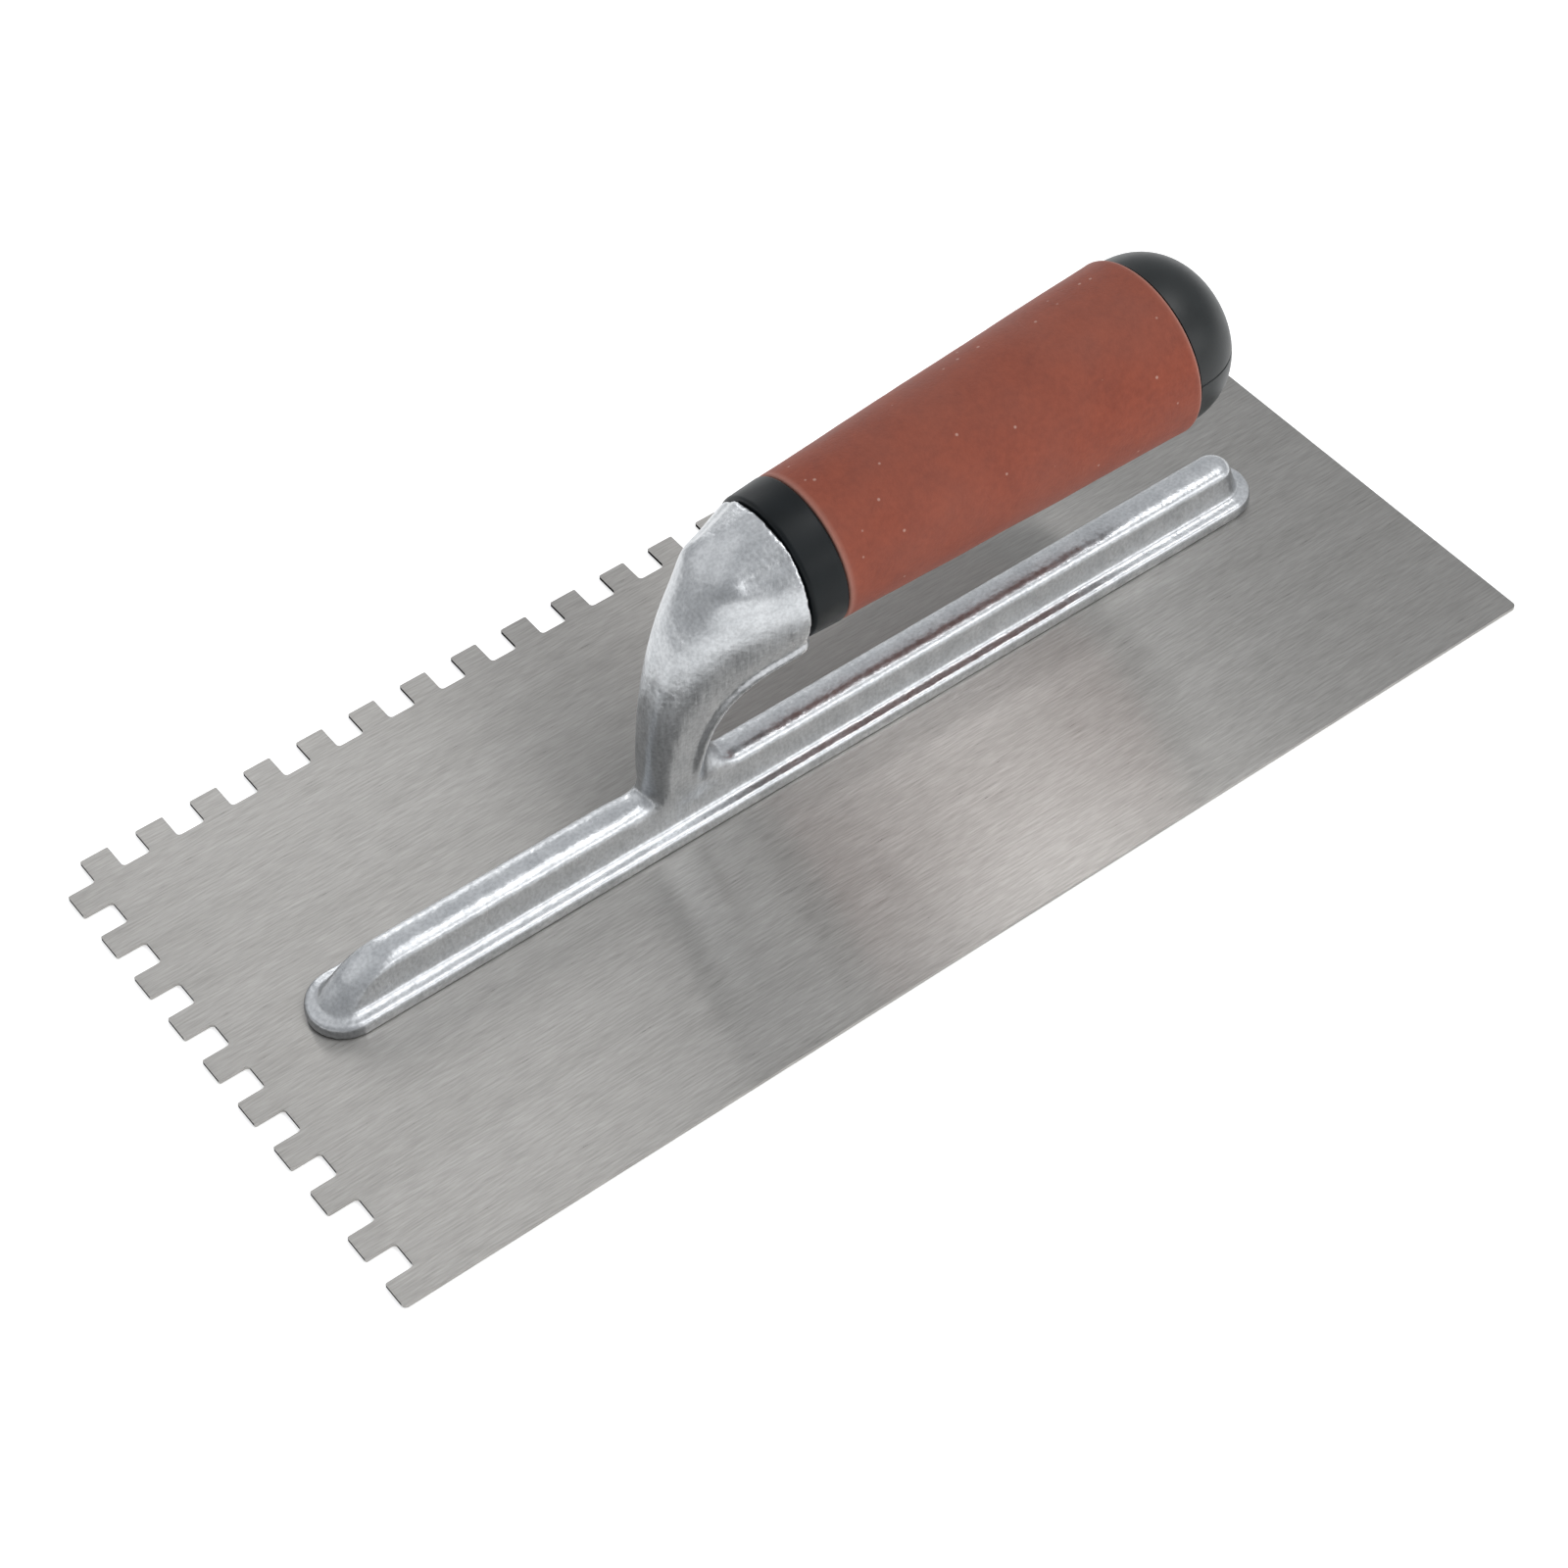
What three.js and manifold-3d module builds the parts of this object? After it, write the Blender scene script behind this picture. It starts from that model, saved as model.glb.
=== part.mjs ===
// Notched trowel for spreading tile adhesive.
// Frame: millimetres, +Z up, origin at the centre of the blade's underside.
// +X runs along the blade towards its plain end, +Y towards its notched long edge.

import * as THREE from 'three';
import { mergeVertices } from 'three/addons/utils/BufferGeometryUtils.js';
import Module from 'manifold-3d';

const wasm = await Module();
wasm.setup();

// Blade
const BLADE_LENGTH = 279.4;
const BLADE_WIDTH = 127;
const BLADE_THICKNESS = 0.8;
const NOTCH_WIDTH = 6.35;
const NOTCH_DEPTH = 6.35;
const TOOTH_WIDTH = 6.35;
const NOTCH_ROOT_RADIUS = 0.8;
const TOOTH_CORNER_RADIUS = 0.35;
const BLADE_CORNER_RADIUS = 1;
const CORNER_STEPS = 2;

// Rivets through the blade into the bar
const RIVET_COUNT = 10;
const RIVET_END_MARGIN = 14;
const RIVET_SHANK_RADIUS = 2;
const RIVET_HEAD_RADIUS = 3.1;
const RIVET_LENGTH = 7;
const RIVET_TIP_CHAMFER = 0.4;
const RIVET_CLEARANCE = 0.15;
const RIVET_SIDES = 20;

// Mounting bar: a low flange with a raised spine along its middle
const BAR_END_MARGIN = 20.5;
const FLANGE_HALF_WIDTH = 8.1;
const FLANGE_EDGE_HEIGHT = 2.3;
const FLANGE_THICKNESS = 3.3;
const FLANGE_EDGE_ROUND = 0.9;
const SPINE_ROOT_HALF_WIDTH = 4.9;
const SPINE_TOP_HALF_WIDTH = 4.1;
const SPINE_HEIGHT = 11.3;
const SPINE_ROOT_FILLET = 2;
const SPINE_EDGE_ROUND = 2.6;
const CAST_DRAFT = 0.1;
const CAST_CURVE_STEPS = 4;
const NOSE_RAKE = 0.9;
const HEEL_RAKE = 0.15;
const BAR_END_STEPS = 8;

// Handle axis, measured from the blade's upper face to the collar's front
const HANDLE_START_X = -8.5;
const HANDLE_AXIS_HEIGHT = 54.9;
const HANDLE_TILT = THREE.MathUtils.degToRad(2.1);

// Shank, cast in one with the bar
const SHANK_FRONT_X = -40.5;
const SHANK_REAR_X = -27.1;
const SHANK_ROOT_DEPTH = 3.3;
const SHANK_FOOT_HALF_WIDTH = 4.55;
const SHANK_FACE_RADIUS = 15.3;
const SHANK_FOOT_SQUARENESS = 2.6;
const SHANK_FACE_SQUARENESS = 2;
const SHANK_SPREAD_POWER = 0.88;
const SHANK_CROWN_DROP = 1.7;
const SHANK_CROWN_PULL = 2.7;
const SHANK_THROAT_SWELL = 3.6;
const SHANK_THROAT_PULL = 7.9;
const SHANK_STEPS = 18;
const SHANK_SIDES = 28;

// Tang rod and its fasteners
const TANG_RADIUS = 4;
const TANG_CLEARANCE = 0.25;
const TANG_SOCKET_DEPTH = 16;
const TANG_PAST_NUT = 2.5;
const TANG_CHAMFER = 0.75;
const WASHER_RADIUS = 8;
const WASHER_THICKNESS = 1.6;
const SPRING_WASHER_RADIUS = 6.6;
const SPRING_WASHER_THICKNESS = 2;
const NUT_ACROSS_FLATS = 13;
const NUT_HEIGHT = 6.5;
const NUT_CHAMFER = 0.8;
const NUT_CHAMFER_REACH = 1.6;

// Handle pieces, lengths along the handle axis
const SEAT_GAP = 0.3;
const COLLAR_LENGTH = 8.4;
const COLLAR_FRONT_RADIUS = 15.5;
const COLLAR_REAR_RADIUS = 15.9;
const COLLAR_WALL = 3;
const COLLAR_EDGE_ROUND = 0.8;
const COLLAR_REAR_EDGE_ROUND = 0.4;
const GRIP_LENGTH = 86.4;
const GRIP_REAR_RADIUS = 19.4;
const GRIP_FRONT_EDGE_ROUND = 0.3;
const GRIP_SHOULDER_ROUND = 1.2;
const GRIP_SHOULDER_REACH = 2.4;
const GRIP_FRONT_WALL = 3;
const GRIP_REAR_WALL = 4;
const GRIP_CURVE_STEPS = 5;
const SLEEVE_CLEARANCE = 0.15;
const CAP_LENGTH = 16.4;
const CAP_RADIUS = 18.5;
const CAP_SQUARENESS = 2.33;
const CAP_STEPS = 10;
const CAP_SPIGOT_LENGTH = 3.2;
const CAP_SPIGOT_WALL = 1.8;
const CAP_CLEARANCE = 0.2;
const NUT_POCKET_RADIUS = 10.5;
const HANDLE_SIDES = 40;
const FASTENER_SIDES = 24;

// How the grip swells from the collar to the cap: shares of its length, and of its gain in radius
const GRIP_FRONT_PULL = 0.3;
const GRIP_FRONT_GAIN = 0.35;
const GRIP_REAR_PULL = 0.8;
const GRIP_REAR_GAIN = 0.9;

// How far a cut runs past the face it opens, and the slack allowed when points meet
const CUT_PAST = 1;
const SOCKET_CUT_PAST = 5;
const WELD_TOLERANCE = 1e-4;
const PITCH_TOLERANCE = 1e-6;

// Places that follow from the sizes above
const PITCH = NOTCH_WIDTH + TOOTH_WIDTH;
const BAR_LENGTH = BLADE_LENGTH - 2 * BAR_END_MARGIN;
const COLLAR_END = COLLAR_LENGTH;
const GRIP_START = COLLAR_END + SEAT_GAP;
const GRIP_END = COLLAR_END + GRIP_LENGTH;
const CAP_START = GRIP_END + SEAT_GAP;
const CORE_START = SEAT_GAP + COLLAR_WALL + SEAT_GAP;
const CORE_END = GRIP_END;
const FASTENER_STACK = WASHER_THICKNESS + SPRING_WASHER_THICKNESS + NUT_HEIGHT + TANG_PAST_NUT;
const POCKET_FLOOR = CORE_END - FASTENER_STACK - 4 * SEAT_GAP;
const WASHER_START = POCKET_FLOOR + SEAT_GAP;
const SPRING_WASHER_START = WASHER_START + WASHER_THICKNESS + SEAT_GAP;
const NUT_START = SPRING_WASHER_START + SPRING_WASHER_THICKNESS + SEAT_GAP;
const TANG_END = NUT_START + NUT_HEIGHT + TANG_PAST_NUT;
const CORE_FRONT_RADIUS = COLLAR_REAR_RADIUS - GRIP_FRONT_WALL;
const CORE_REAR_RADIUS = GRIP_REAR_RADIUS - GRIP_REAR_WALL;

function finish(color, roughness, metalness) {
  return new THREE.MeshStandardMaterial({ color, roughness, metalness });
}

const BLADE_STEEL = finish('#a8a5a2', 0.35, 1);
const CAST_ALUMINIUM = finish('#c6cacd', 0.3, 1);
const RIVET_STEEL = finish('#9b9a98', 0.35, 1);
const ZINC_STEEL = finish('#b4b6b8', 0.35, 1);
const BLACK_PLASTIC = finish('#23282b', 0.45, 0);
const CORE_PLASTIC = finish('#3a3b3d', 0.6, 0);
const RED_RUBBER = finish('#8b4a3a', 0.8, 0);

// A closed geometry as a manifold solid
function toSolid(geometry) {
  const bare = geometry.index ? geometry.toNonIndexed() : geometry.clone();
  bare.deleteAttribute('normal');
  bare.deleteAttribute('uv');
  const merged = mergeVertices(bare, WELD_TOLERANCE);
  const corners = merged.index.array;
  const kept = [];
  for (let i = 0; i < corners.length; i += 3) {
    const [a, b, c] = [corners[i], corners[i + 1], corners[i + 2]];
    if (a !== b && b !== c && c !== a) kept.push(a, b, c);
  }
  const vertProperties = new Float32Array(merged.attributes.position.array);
  const triVerts = new Uint32Array(kept);
  return new wasm.Manifold(new wasm.Mesh({ numProp: 3, vertProperties, triVerts }));
}

// A manifold solid back as a geometry
function toGeometry(solid) {
  const mesh = solid.getMesh();
  const geometry = new THREE.BufferGeometry();
  geometry.setAttribute('position', new THREE.BufferAttribute(new Float32Array(mesh.vertProperties), 3));
  geometry.setIndex(new THREE.BufferAttribute(new Uint32Array(mesh.triVerts), 1));
  geometry.computeVertexNormals();
  return geometry;
}

// A closed skin over rings of equal count, each ring counter-clockwise seen from the last ring
function loft(rings) {
  const count = rings[0].length;
  const last = rings.length - 1;
  const points = rings.flat();
  const indices = [];
  for (let ring = 0; ring < last; ring++) {
    for (let side = 0; side < count; side++) {
      const next = (side + 1) % count;
      const [a, b] = [ring * count + side, ring * count + next];
      indices.push(a, b, b + count, a, b + count, a + count);
    }
  }
  for (const [ring, turned] of [[0, true], [last, false]]) {
    const centre = rings[ring].reduce((sum, point) => sum.add(point), new THREE.Vector3());
    points.push(centre.divideScalar(count));
    for (let side = 0; side < count; side++) {
      const edge = [ring * count + side, ring * count + ((side + 1) % count)];
      if (turned) edge.reverse();
      indices.push(points.length - 1, ...edge);
    }
  }
  return new THREE.BufferGeometry().setFromPoints(points).setIndex(indices);
}

// A profile of [radius, height] points turned about +Z
function turned(profile, sides) {
  const points = profile.map(([radius, height]) => new THREE.Vector2(radius, height));
  const geometry = new THREE.LatheGeometry(points, sides);
  geometry.rotateX(Math.PI / 2);
  return geometry;
}

// The same about the handle's own axis, local +X
function turnedOnHandle(profile, sides = HANDLE_SIDES) {
  const geometry = turned(profile, sides);
  geometry.rotateY(Math.PI / 2);
  return geometry;
}

// ---- Blade ----

// How many notches fit along an edge, counting the one at the corner and leaving a tooth after each
function notchCount(edgeLength) {
  return Math.floor(edgeLength / PITCH + PITCH_TOLERANCE);
}

// Corners of the blade's outline, counter-clockwise, each with its rounding
function bladeCorners() {
  const right = BLADE_LENGTH / 2;
  const back = BLADE_WIDTH / 2;
  const tip = TOOTH_CORNER_RADIUS;
  const root = NOTCH_ROOT_RADIUS;
  const corners = [
    [-right, -back, BLADE_CORNER_RADIUS],
    [right, -back, BLADE_CORNER_RADIUS],
    [right, back, BLADE_CORNER_RADIUS],
  ];
  for (let i = notchCount(BLADE_LENGTH) - 1; i > 0; i--) {
    const start = -right + i * PITCH;
    const end = start + NOTCH_WIDTH;
    corners.push([end, back, tip], [end, back - NOTCH_DEPTH, root]);
    corners.push([start, back - NOTCH_DEPTH, root], [start, back, tip]);
  }
  corners.push([-right + NOTCH_WIDTH, back, tip]);
  corners.push([-right + NOTCH_WIDTH, back - NOTCH_WIDTH, root]);
  corners.push([-right, back - NOTCH_WIDTH, tip]);
  for (let i = 1; i < notchCount(BLADE_WIDTH); i++) {
    const start = back - i * PITCH;
    const end = start - NOTCH_WIDTH;
    corners.push([-right, start, tip], [-right + NOTCH_DEPTH, start, root]);
    corners.push([-right + NOTCH_DEPTH, end, root], [-right, end, tip]);
  }
  return corners;
}

// A closed shape through square corners, each rounded
function roundedShape(corners) {
  const shape = new THREE.Shape();
  corners.forEach(([x, y, radius], i) => {
    const corner = new THREE.Vector2(x, y);
    const before = new THREE.Vector2(...corners.at(i - 1));
    const after = new THREE.Vector2(...corners[(i + 1) % corners.length]);
    const start = before.sub(corner).setLength(radius).add(corner);
    const end = after.sub(corner).setLength(radius).add(corner);
    if (i === 0) shape.moveTo(start.x, start.y);
    else shape.lineTo(start.x, start.y);
    shape.quadraticCurveTo(x, y, end.x, end.y);
  });
  shape.closePath();
  return shape;
}

function rivetPlaces() {
  const span = BAR_LENGTH - 2 * RIVET_END_MARGIN;
  return Array.from({ length: RIVET_COUNT }, (_, i) => -span / 2 + (i * span) / (RIVET_COUNT - 1));
}

// What each rivet's hole takes away: a countersink through the blade and a blind bore in the bar
function rivetCutter() {
  const bore = RIVET_SHANK_RADIUS + RIVET_CLEARANCE;
  const mouth = RIVET_HEAD_RADIUS + RIVET_CLEARANCE;
  const end = RIVET_LENGTH + RIVET_CLEARANCE;
  return toSolid(turned([
    [0, -CUT_PAST],
    [mouth, -CUT_PAST],
    [mouth, 0],
    [bore, BLADE_THICKNESS],
    [bore, end],
    [0, end],
  ], RIVET_SIDES));
}

function withRivetHoles(solid) {
  const cutter = rivetCutter();
  return rivetPlaces().reduce((rest, x) => rest.subtract(cutter.translate([x, 0, 0])), solid);
}

function bladeGeometry() {
  const settings = { depth: BLADE_THICKNESS, bevelEnabled: false, curveSegments: CORNER_STEPS };
  const sheet = new THREE.ExtrudeGeometry(roundedShape(bladeCorners()), settings);
  return toGeometry(withRivetHoles(toSolid(sheet)));
}

function rivetGeometry() {
  const shank = RIVET_SHANK_RADIUS;
  const chamferStart = RIVET_LENGTH - RIVET_TIP_CHAMFER;
  const profile = [
    [0, 0],
    [RIVET_HEAD_RADIUS, 0],
    [shank, BLADE_THICKNESS],
    [shank, chamferStart],
    [shank - RIVET_TIP_CHAMFER, RIVET_LENGTH],
    [0, RIVET_LENGTH],
  ];
  return turned(profile, RIVET_SIDES);
}

// ---- Mounting casting ----

// Half of the bar's cross-section: half-width against height above the blade
function barProfile() {
  const edge = new THREE.Path();
  const flangeSide = FLANGE_HALF_WIDTH - CAST_DRAFT;
  const flangeTop = FLANGE_THICKNESS - CAST_DRAFT;
  const [root, rootTop] = [SPINE_ROOT_HALF_WIDTH, FLANGE_THICKNESS + SPINE_ROOT_FILLET];
  const [crown, crownTop] = [SPINE_TOP_HALF_WIDTH, SPINE_HEIGHT - CAST_DRAFT];
  edge.moveTo(FLANGE_HALF_WIDTH, 0);
  edge.lineTo(flangeSide, FLANGE_EDGE_HEIGHT);
  edge.quadraticCurveTo(flangeSide, flangeTop, FLANGE_HALF_WIDTH - FLANGE_EDGE_ROUND, flangeTop);
  edge.lineTo(root + SPINE_ROOT_FILLET, FLANGE_THICKNESS);
  edge.quadraticCurveTo(root, FLANGE_THICKNESS, root, rootTop);
  edge.lineTo(crown, SPINE_HEIGHT - SPINE_EDGE_ROUND);
  edge.quadraticCurveTo(crown, crownTop, crown - SPINE_EDGE_ROUND, SPINE_HEIGHT);
  return edge.getPoints(CAST_CURVE_STEPS);
}

// A long outline with round ends at one height, counter-clockwise seen from above
function barRing(halfWidth, height) {
  const inset = FLANGE_HALF_WIDTH - halfWidth;
  const rise = Math.max(0, height - FLANGE_THICKNESS);
  const heel = BAR_LENGTH / 2 - inset - halfWidth - HEEL_RAKE * rise;
  const nose = -BAR_LENGTH / 2 + inset + halfWidth + NOSE_RAKE * rise;
  const ring = [];
  for (const [centre, start] of [[heel, -Math.PI / 2], [nose, Math.PI / 2]]) {
    for (let step = 0; step <= BAR_END_STEPS; step++) {
      const angle = start + (step / BAR_END_STEPS) * Math.PI;
      const [x, y] = [centre + halfWidth * Math.cos(angle), halfWidth * Math.sin(angle)];
      ring.push(new THREE.Vector3(x, y, BLADE_THICKNESS + height));
    }
  }
  return ring;
}

// A point on the plane where the collar seats, at a distance from the handle's axis
function facePoint(offset) {
  const x = HANDLE_START_X - offset * Math.sin(HANDLE_TILT);
  return new THREE.Vector2(x, BLADE_THICKNESS + HANDLE_AXIS_HEIGHT + offset * Math.cos(HANDLE_TILT));
}

// The shank's front and rear edges in the plane of the handle
function shankEdges() {
  const foot = BLADE_THICKNESS + SPINE_HEIGHT - SHANK_ROOT_DEPTH;
  const top = facePoint(SHANK_FACE_RADIUS);
  const throat = facePoint(-SHANK_FACE_RADIUS);
  const front = new THREE.CubicBezierCurve(
    new THREE.Vector2(SHANK_FRONT_X, foot),
    new THREE.Vector2(SHANK_FRONT_X, top.y - SHANK_CROWN_DROP),
    new THREE.Vector2(top.x - SHANK_CROWN_PULL, top.y - SHANK_CROWN_PULL),
    top,
  );
  const rear = new THREE.CubicBezierCurve(
    new THREE.Vector2(SHANK_REAR_X, foot),
    new THREE.Vector2(SHANK_REAR_X, throat.y),
    new THREE.Vector2(throat.x + SHANK_THROAT_SWELL, throat.y - SHANK_THROAT_PULL),
    throat,
  );
  return [front, rear];
}

// Cross-sections from the foot in the bar to the round face at the collar
function shankRings() {
  const [front, rear] = shankEdges();
  const rings = [];
  for (let step = 0; step <= SHANK_STEPS; step++) {
    const t = step / SHANK_STEPS;
    const middle = front.getPoint(t).add(rear.getPoint(t)).divideScalar(2);
    const reach = front.getPoint(t).sub(middle);
    const spread = THREE.MathUtils.smoothstep(t ** SHANK_SPREAD_POWER, 0, 1);
    const halfWidth = THREE.MathUtils.lerp(SHANK_FOOT_HALF_WIDTH, SHANK_FACE_RADIUS, spread);
    const power = 2 / THREE.MathUtils.lerp(SHANK_FOOT_SQUARENESS, SHANK_FACE_SQUARENESS, t);
    const ring = [];
    for (let side = 0; side < SHANK_SIDES; side++) {
      const angle = (side / SHANK_SIDES) * 2 * Math.PI;
      const along = Math.sign(Math.cos(angle)) * Math.abs(Math.cos(angle)) ** power;
      const across = Math.sign(Math.sin(angle)) * Math.abs(Math.sin(angle)) ** power;
      const [x, z] = [middle.x + reach.x * along, middle.y + reach.y * along];
      ring.push(new THREE.Vector3(x, -halfWidth * across, z));
    }
    rings.push(ring);
  }
  return rings;
}

// The blind bore in the shank's face that the tang screws into
function tangSocket() {
  const bore = TANG_RADIUS + TANG_CLEARANCE;
  const geometry = turnedOnHandle([
    [0, -TANG_SOCKET_DEPTH],
    [bore, -TANG_SOCKET_DEPTH],
    [bore, SOCKET_CUT_PAST],
    [0, SOCKET_CUT_PAST],
  ], FASTENER_SIDES);
  geometry.rotateY(-HANDLE_TILT);
  geometry.translate(HANDLE_START_X, 0, BLADE_THICKNESS + HANDLE_AXIS_HEIGHT);
  return toSolid(geometry);
}

function mountingGeometry() {
  const bar = toSolid(loft(barProfile().map((point) => barRing(point.x, point.y))));
  const shank = toSolid(loft(shankRings()));
  return toGeometry(withRivetHoles(bar.add(shank)).subtract(tangSocket()));
}

// ---- Handle pieces, on the handle's axis ----

function collarGeometry() {
  const bore = TANG_RADIUS + TANG_CLEARANCE;
  const recess = CORE_FRONT_RADIUS + SLEEVE_CLEARANCE;
  const wallEnd = SEAT_GAP + COLLAR_WALL;
  return turnedOnHandle([
    [bore, SEAT_GAP],
    [COLLAR_FRONT_RADIUS - COLLAR_EDGE_ROUND, SEAT_GAP],
    [COLLAR_FRONT_RADIUS, SEAT_GAP + COLLAR_EDGE_ROUND],
    [COLLAR_REAR_RADIUS, COLLAR_END - COLLAR_REAR_EDGE_ROUND],
    [COLLAR_REAR_RADIUS - COLLAR_REAR_EDGE_ROUND, COLLAR_END],
    [recess, COLLAR_END],
    [recess, wallEnd],
    [bore, wallEnd],
    [bore, SEAT_GAP],
  ]);
}

// The core's outer radius: straight inside the collar, then a taper under the sleeve
function coreRadius(distance) {
  return THREE.MathUtils.mapLinear(distance, GRIP_START, GRIP_END, CORE_FRONT_RADIUS, CORE_REAR_RADIUS);
}

function coreGeometry() {
  const bore = TANG_RADIUS + TANG_CLEARANCE;
  return turnedOnHandle([
    [bore, CORE_START],
    [CORE_FRONT_RADIUS, CORE_START],
    [CORE_FRONT_RADIUS, GRIP_START],
    [CORE_REAR_RADIUS, CORE_END],
    [NUT_POCKET_RADIUS, CORE_END],
    [NUT_POCKET_RADIUS, POCKET_FLOOR],
    [bore, POCKET_FLOOR],
    [bore, CORE_START],
  ], FASTENER_SIDES);
}

function gripGeometry() {
  const gain = GRIP_REAR_RADIUS - COLLAR_REAR_RADIUS;
  const outside = new THREE.Path();
  outside.moveTo(COLLAR_REAR_RADIUS - GRIP_FRONT_EDGE_ROUND, GRIP_START);
  outside.lineTo(COLLAR_REAR_RADIUS, GRIP_START + GRIP_FRONT_EDGE_ROUND);
  outside.bezierCurveTo(
    COLLAR_REAR_RADIUS + GRIP_FRONT_GAIN * gain, GRIP_START + GRIP_FRONT_PULL * GRIP_LENGTH,
    COLLAR_REAR_RADIUS + GRIP_REAR_GAIN * gain, GRIP_START + GRIP_REAR_PULL * GRIP_LENGTH,
    GRIP_REAR_RADIUS, GRIP_END - GRIP_SHOULDER_REACH);
  outside.quadraticCurveTo(
    GRIP_REAR_RADIUS, GRIP_END, GRIP_REAR_RADIUS - GRIP_SHOULDER_ROUND, GRIP_END);
  const profile = outside.getPoints(GRIP_CURVE_STEPS).map((point) => [point.x, point.y]);
  profile.push([CORE_REAR_RADIUS + SLEEVE_CLEARANCE, GRIP_END]);
  profile.push([coreRadius(GRIP_START) + SLEEVE_CLEARANCE, GRIP_START]);
  profile.push(profile[0]);
  return turnedOnHandle(profile);
}

function capGeometry() {
  const plug = NUT_POCKET_RADIUS - CAP_CLEARANCE;
  const plugEnd = CAP_START - CAP_SPIGOT_LENGTH;
  const profile = [
    [0, CAP_START],
    [plug - CAP_SPIGOT_WALL, CAP_START],
    [plug - CAP_SPIGOT_WALL, plugEnd],
    [plug, plugEnd],
    [plug, CAP_START],
  ];
  const power = 2 / CAP_SQUARENESS;
  for (let step = 0; step < CAP_STEPS; step++) {
    const angle = (step / CAP_STEPS) * (Math.PI / 2);
    profile.push([CAP_RADIUS * Math.cos(angle) ** power, CAP_START + CAP_LENGTH * Math.sin(angle) ** power]);
  }
  profile.push([0, CAP_START + CAP_LENGTH]);
  return turnedOnHandle(profile);
}

function tangGeometry() {
  const start = -TANG_SOCKET_DEPTH + TANG_CLEARANCE;
  return turnedOnHandle([
    [0, start],
    [TANG_RADIUS - TANG_CHAMFER, start],
    [TANG_RADIUS, start + TANG_CHAMFER],
    [TANG_RADIUS, TANG_END - TANG_CHAMFER],
    [TANG_RADIUS - TANG_CHAMFER, TANG_END],
    [0, TANG_END],
  ], FASTENER_SIDES);
}

function ringGeometry(outerRadius, start, thickness) {
  const bore = TANG_RADIUS + TANG_CLEARANCE;
  const end = start + thickness;
  const profile = [[bore, start], [outerRadius, start], [outerRadius, end], [bore, end], [bore, start]];
  return turnedOnHandle(profile, FASTENER_SIDES);
}

function nutGeometry() {
  const corner = NUT_ACROSS_FLATS / Math.sqrt(3);
  const bore = TANG_RADIUS + TANG_CLEARANCE;
  const end = NUT_START + NUT_HEIGHT;
  const [below, above] = [NUT_START - CUT_PAST, end + CUT_PAST];
  const hexagon = turnedOnHandle([[0, NUT_START], [corner, NUT_START], [corner, end], [0, end]], 6);
  const crown = turnedOnHandle([
    [0, below],
    [corner, below],
    [corner, end - NUT_CHAMFER],
    [corner - NUT_CHAMFER_REACH, end],
    [0, end],
  ], FASTENER_SIDES);
  const hole = turnedOnHandle([[0, below], [bore, below], [bore, above], [0, above]], FASTENER_SIDES);
  return toGeometry(toSolid(hexagon).intersect(toSolid(crown)).subtract(toSolid(hole)));
}

// ---- Assembly ----

function piece(name, geometry, material) {
  const mesh = new THREE.Mesh(geometry, material);
  mesh.name = name;
  return mesh;
}

const trowel = new THREE.Group();
trowel.add(piece('blade', bladeGeometry(), BLADE_STEEL));
trowel.add(piece('mounting', mountingGeometry(), CAST_ALUMINIUM));
rivetPlaces().forEach((x, i) => {
  const rivet = piece(`blade_rivet_${String(i + 1).padStart(2, '0')}`, rivetGeometry(), RIVET_STEEL);
  rivet.position.x = x;
  trowel.add(rivet);
});

const handle = new THREE.Group();
handle.position.set(HANDLE_START_X, 0, BLADE_THICKNESS + HANDLE_AXIS_HEIGHT);
handle.rotation.y = -HANDLE_TILT;
handle.add(piece('collar', collarGeometry(), BLACK_PLASTIC));
handle.add(piece('handle_core', coreGeometry(), CORE_PLASTIC));
handle.add(piece('grip_sleeve', gripGeometry(), RED_RUBBER));
handle.add(piece('end_cap', capGeometry(), BLACK_PLASTIC));
handle.add(piece('tang_rod', tangGeometry(), ZINC_STEEL));
handle.add(piece('flat_washer', ringGeometry(WASHER_RADIUS, WASHER_START, WASHER_THICKNESS), ZINC_STEEL));
handle.add(piece('spring_washer',
  ringGeometry(SPRING_WASHER_RADIUS, SPRING_WASHER_START, SPRING_WASHER_THICKNESS), ZINC_STEEL));
handle.add(piece('lock_nut', nutGeometry(), ZINC_STEEL));
trowel.add(handle);

export default trowel;
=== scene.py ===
"""Looks of a notched trowel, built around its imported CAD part.
Metres, +Z up, origin at the centre of the blade's underside, +X towards the blade's plain end,
+Y towards its notched long edge. The sections follow the trowel as it is put together."""

import math

import bmesh
import bpy
import numpy as np
from mathutils import Matrix, Vector, noise


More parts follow.
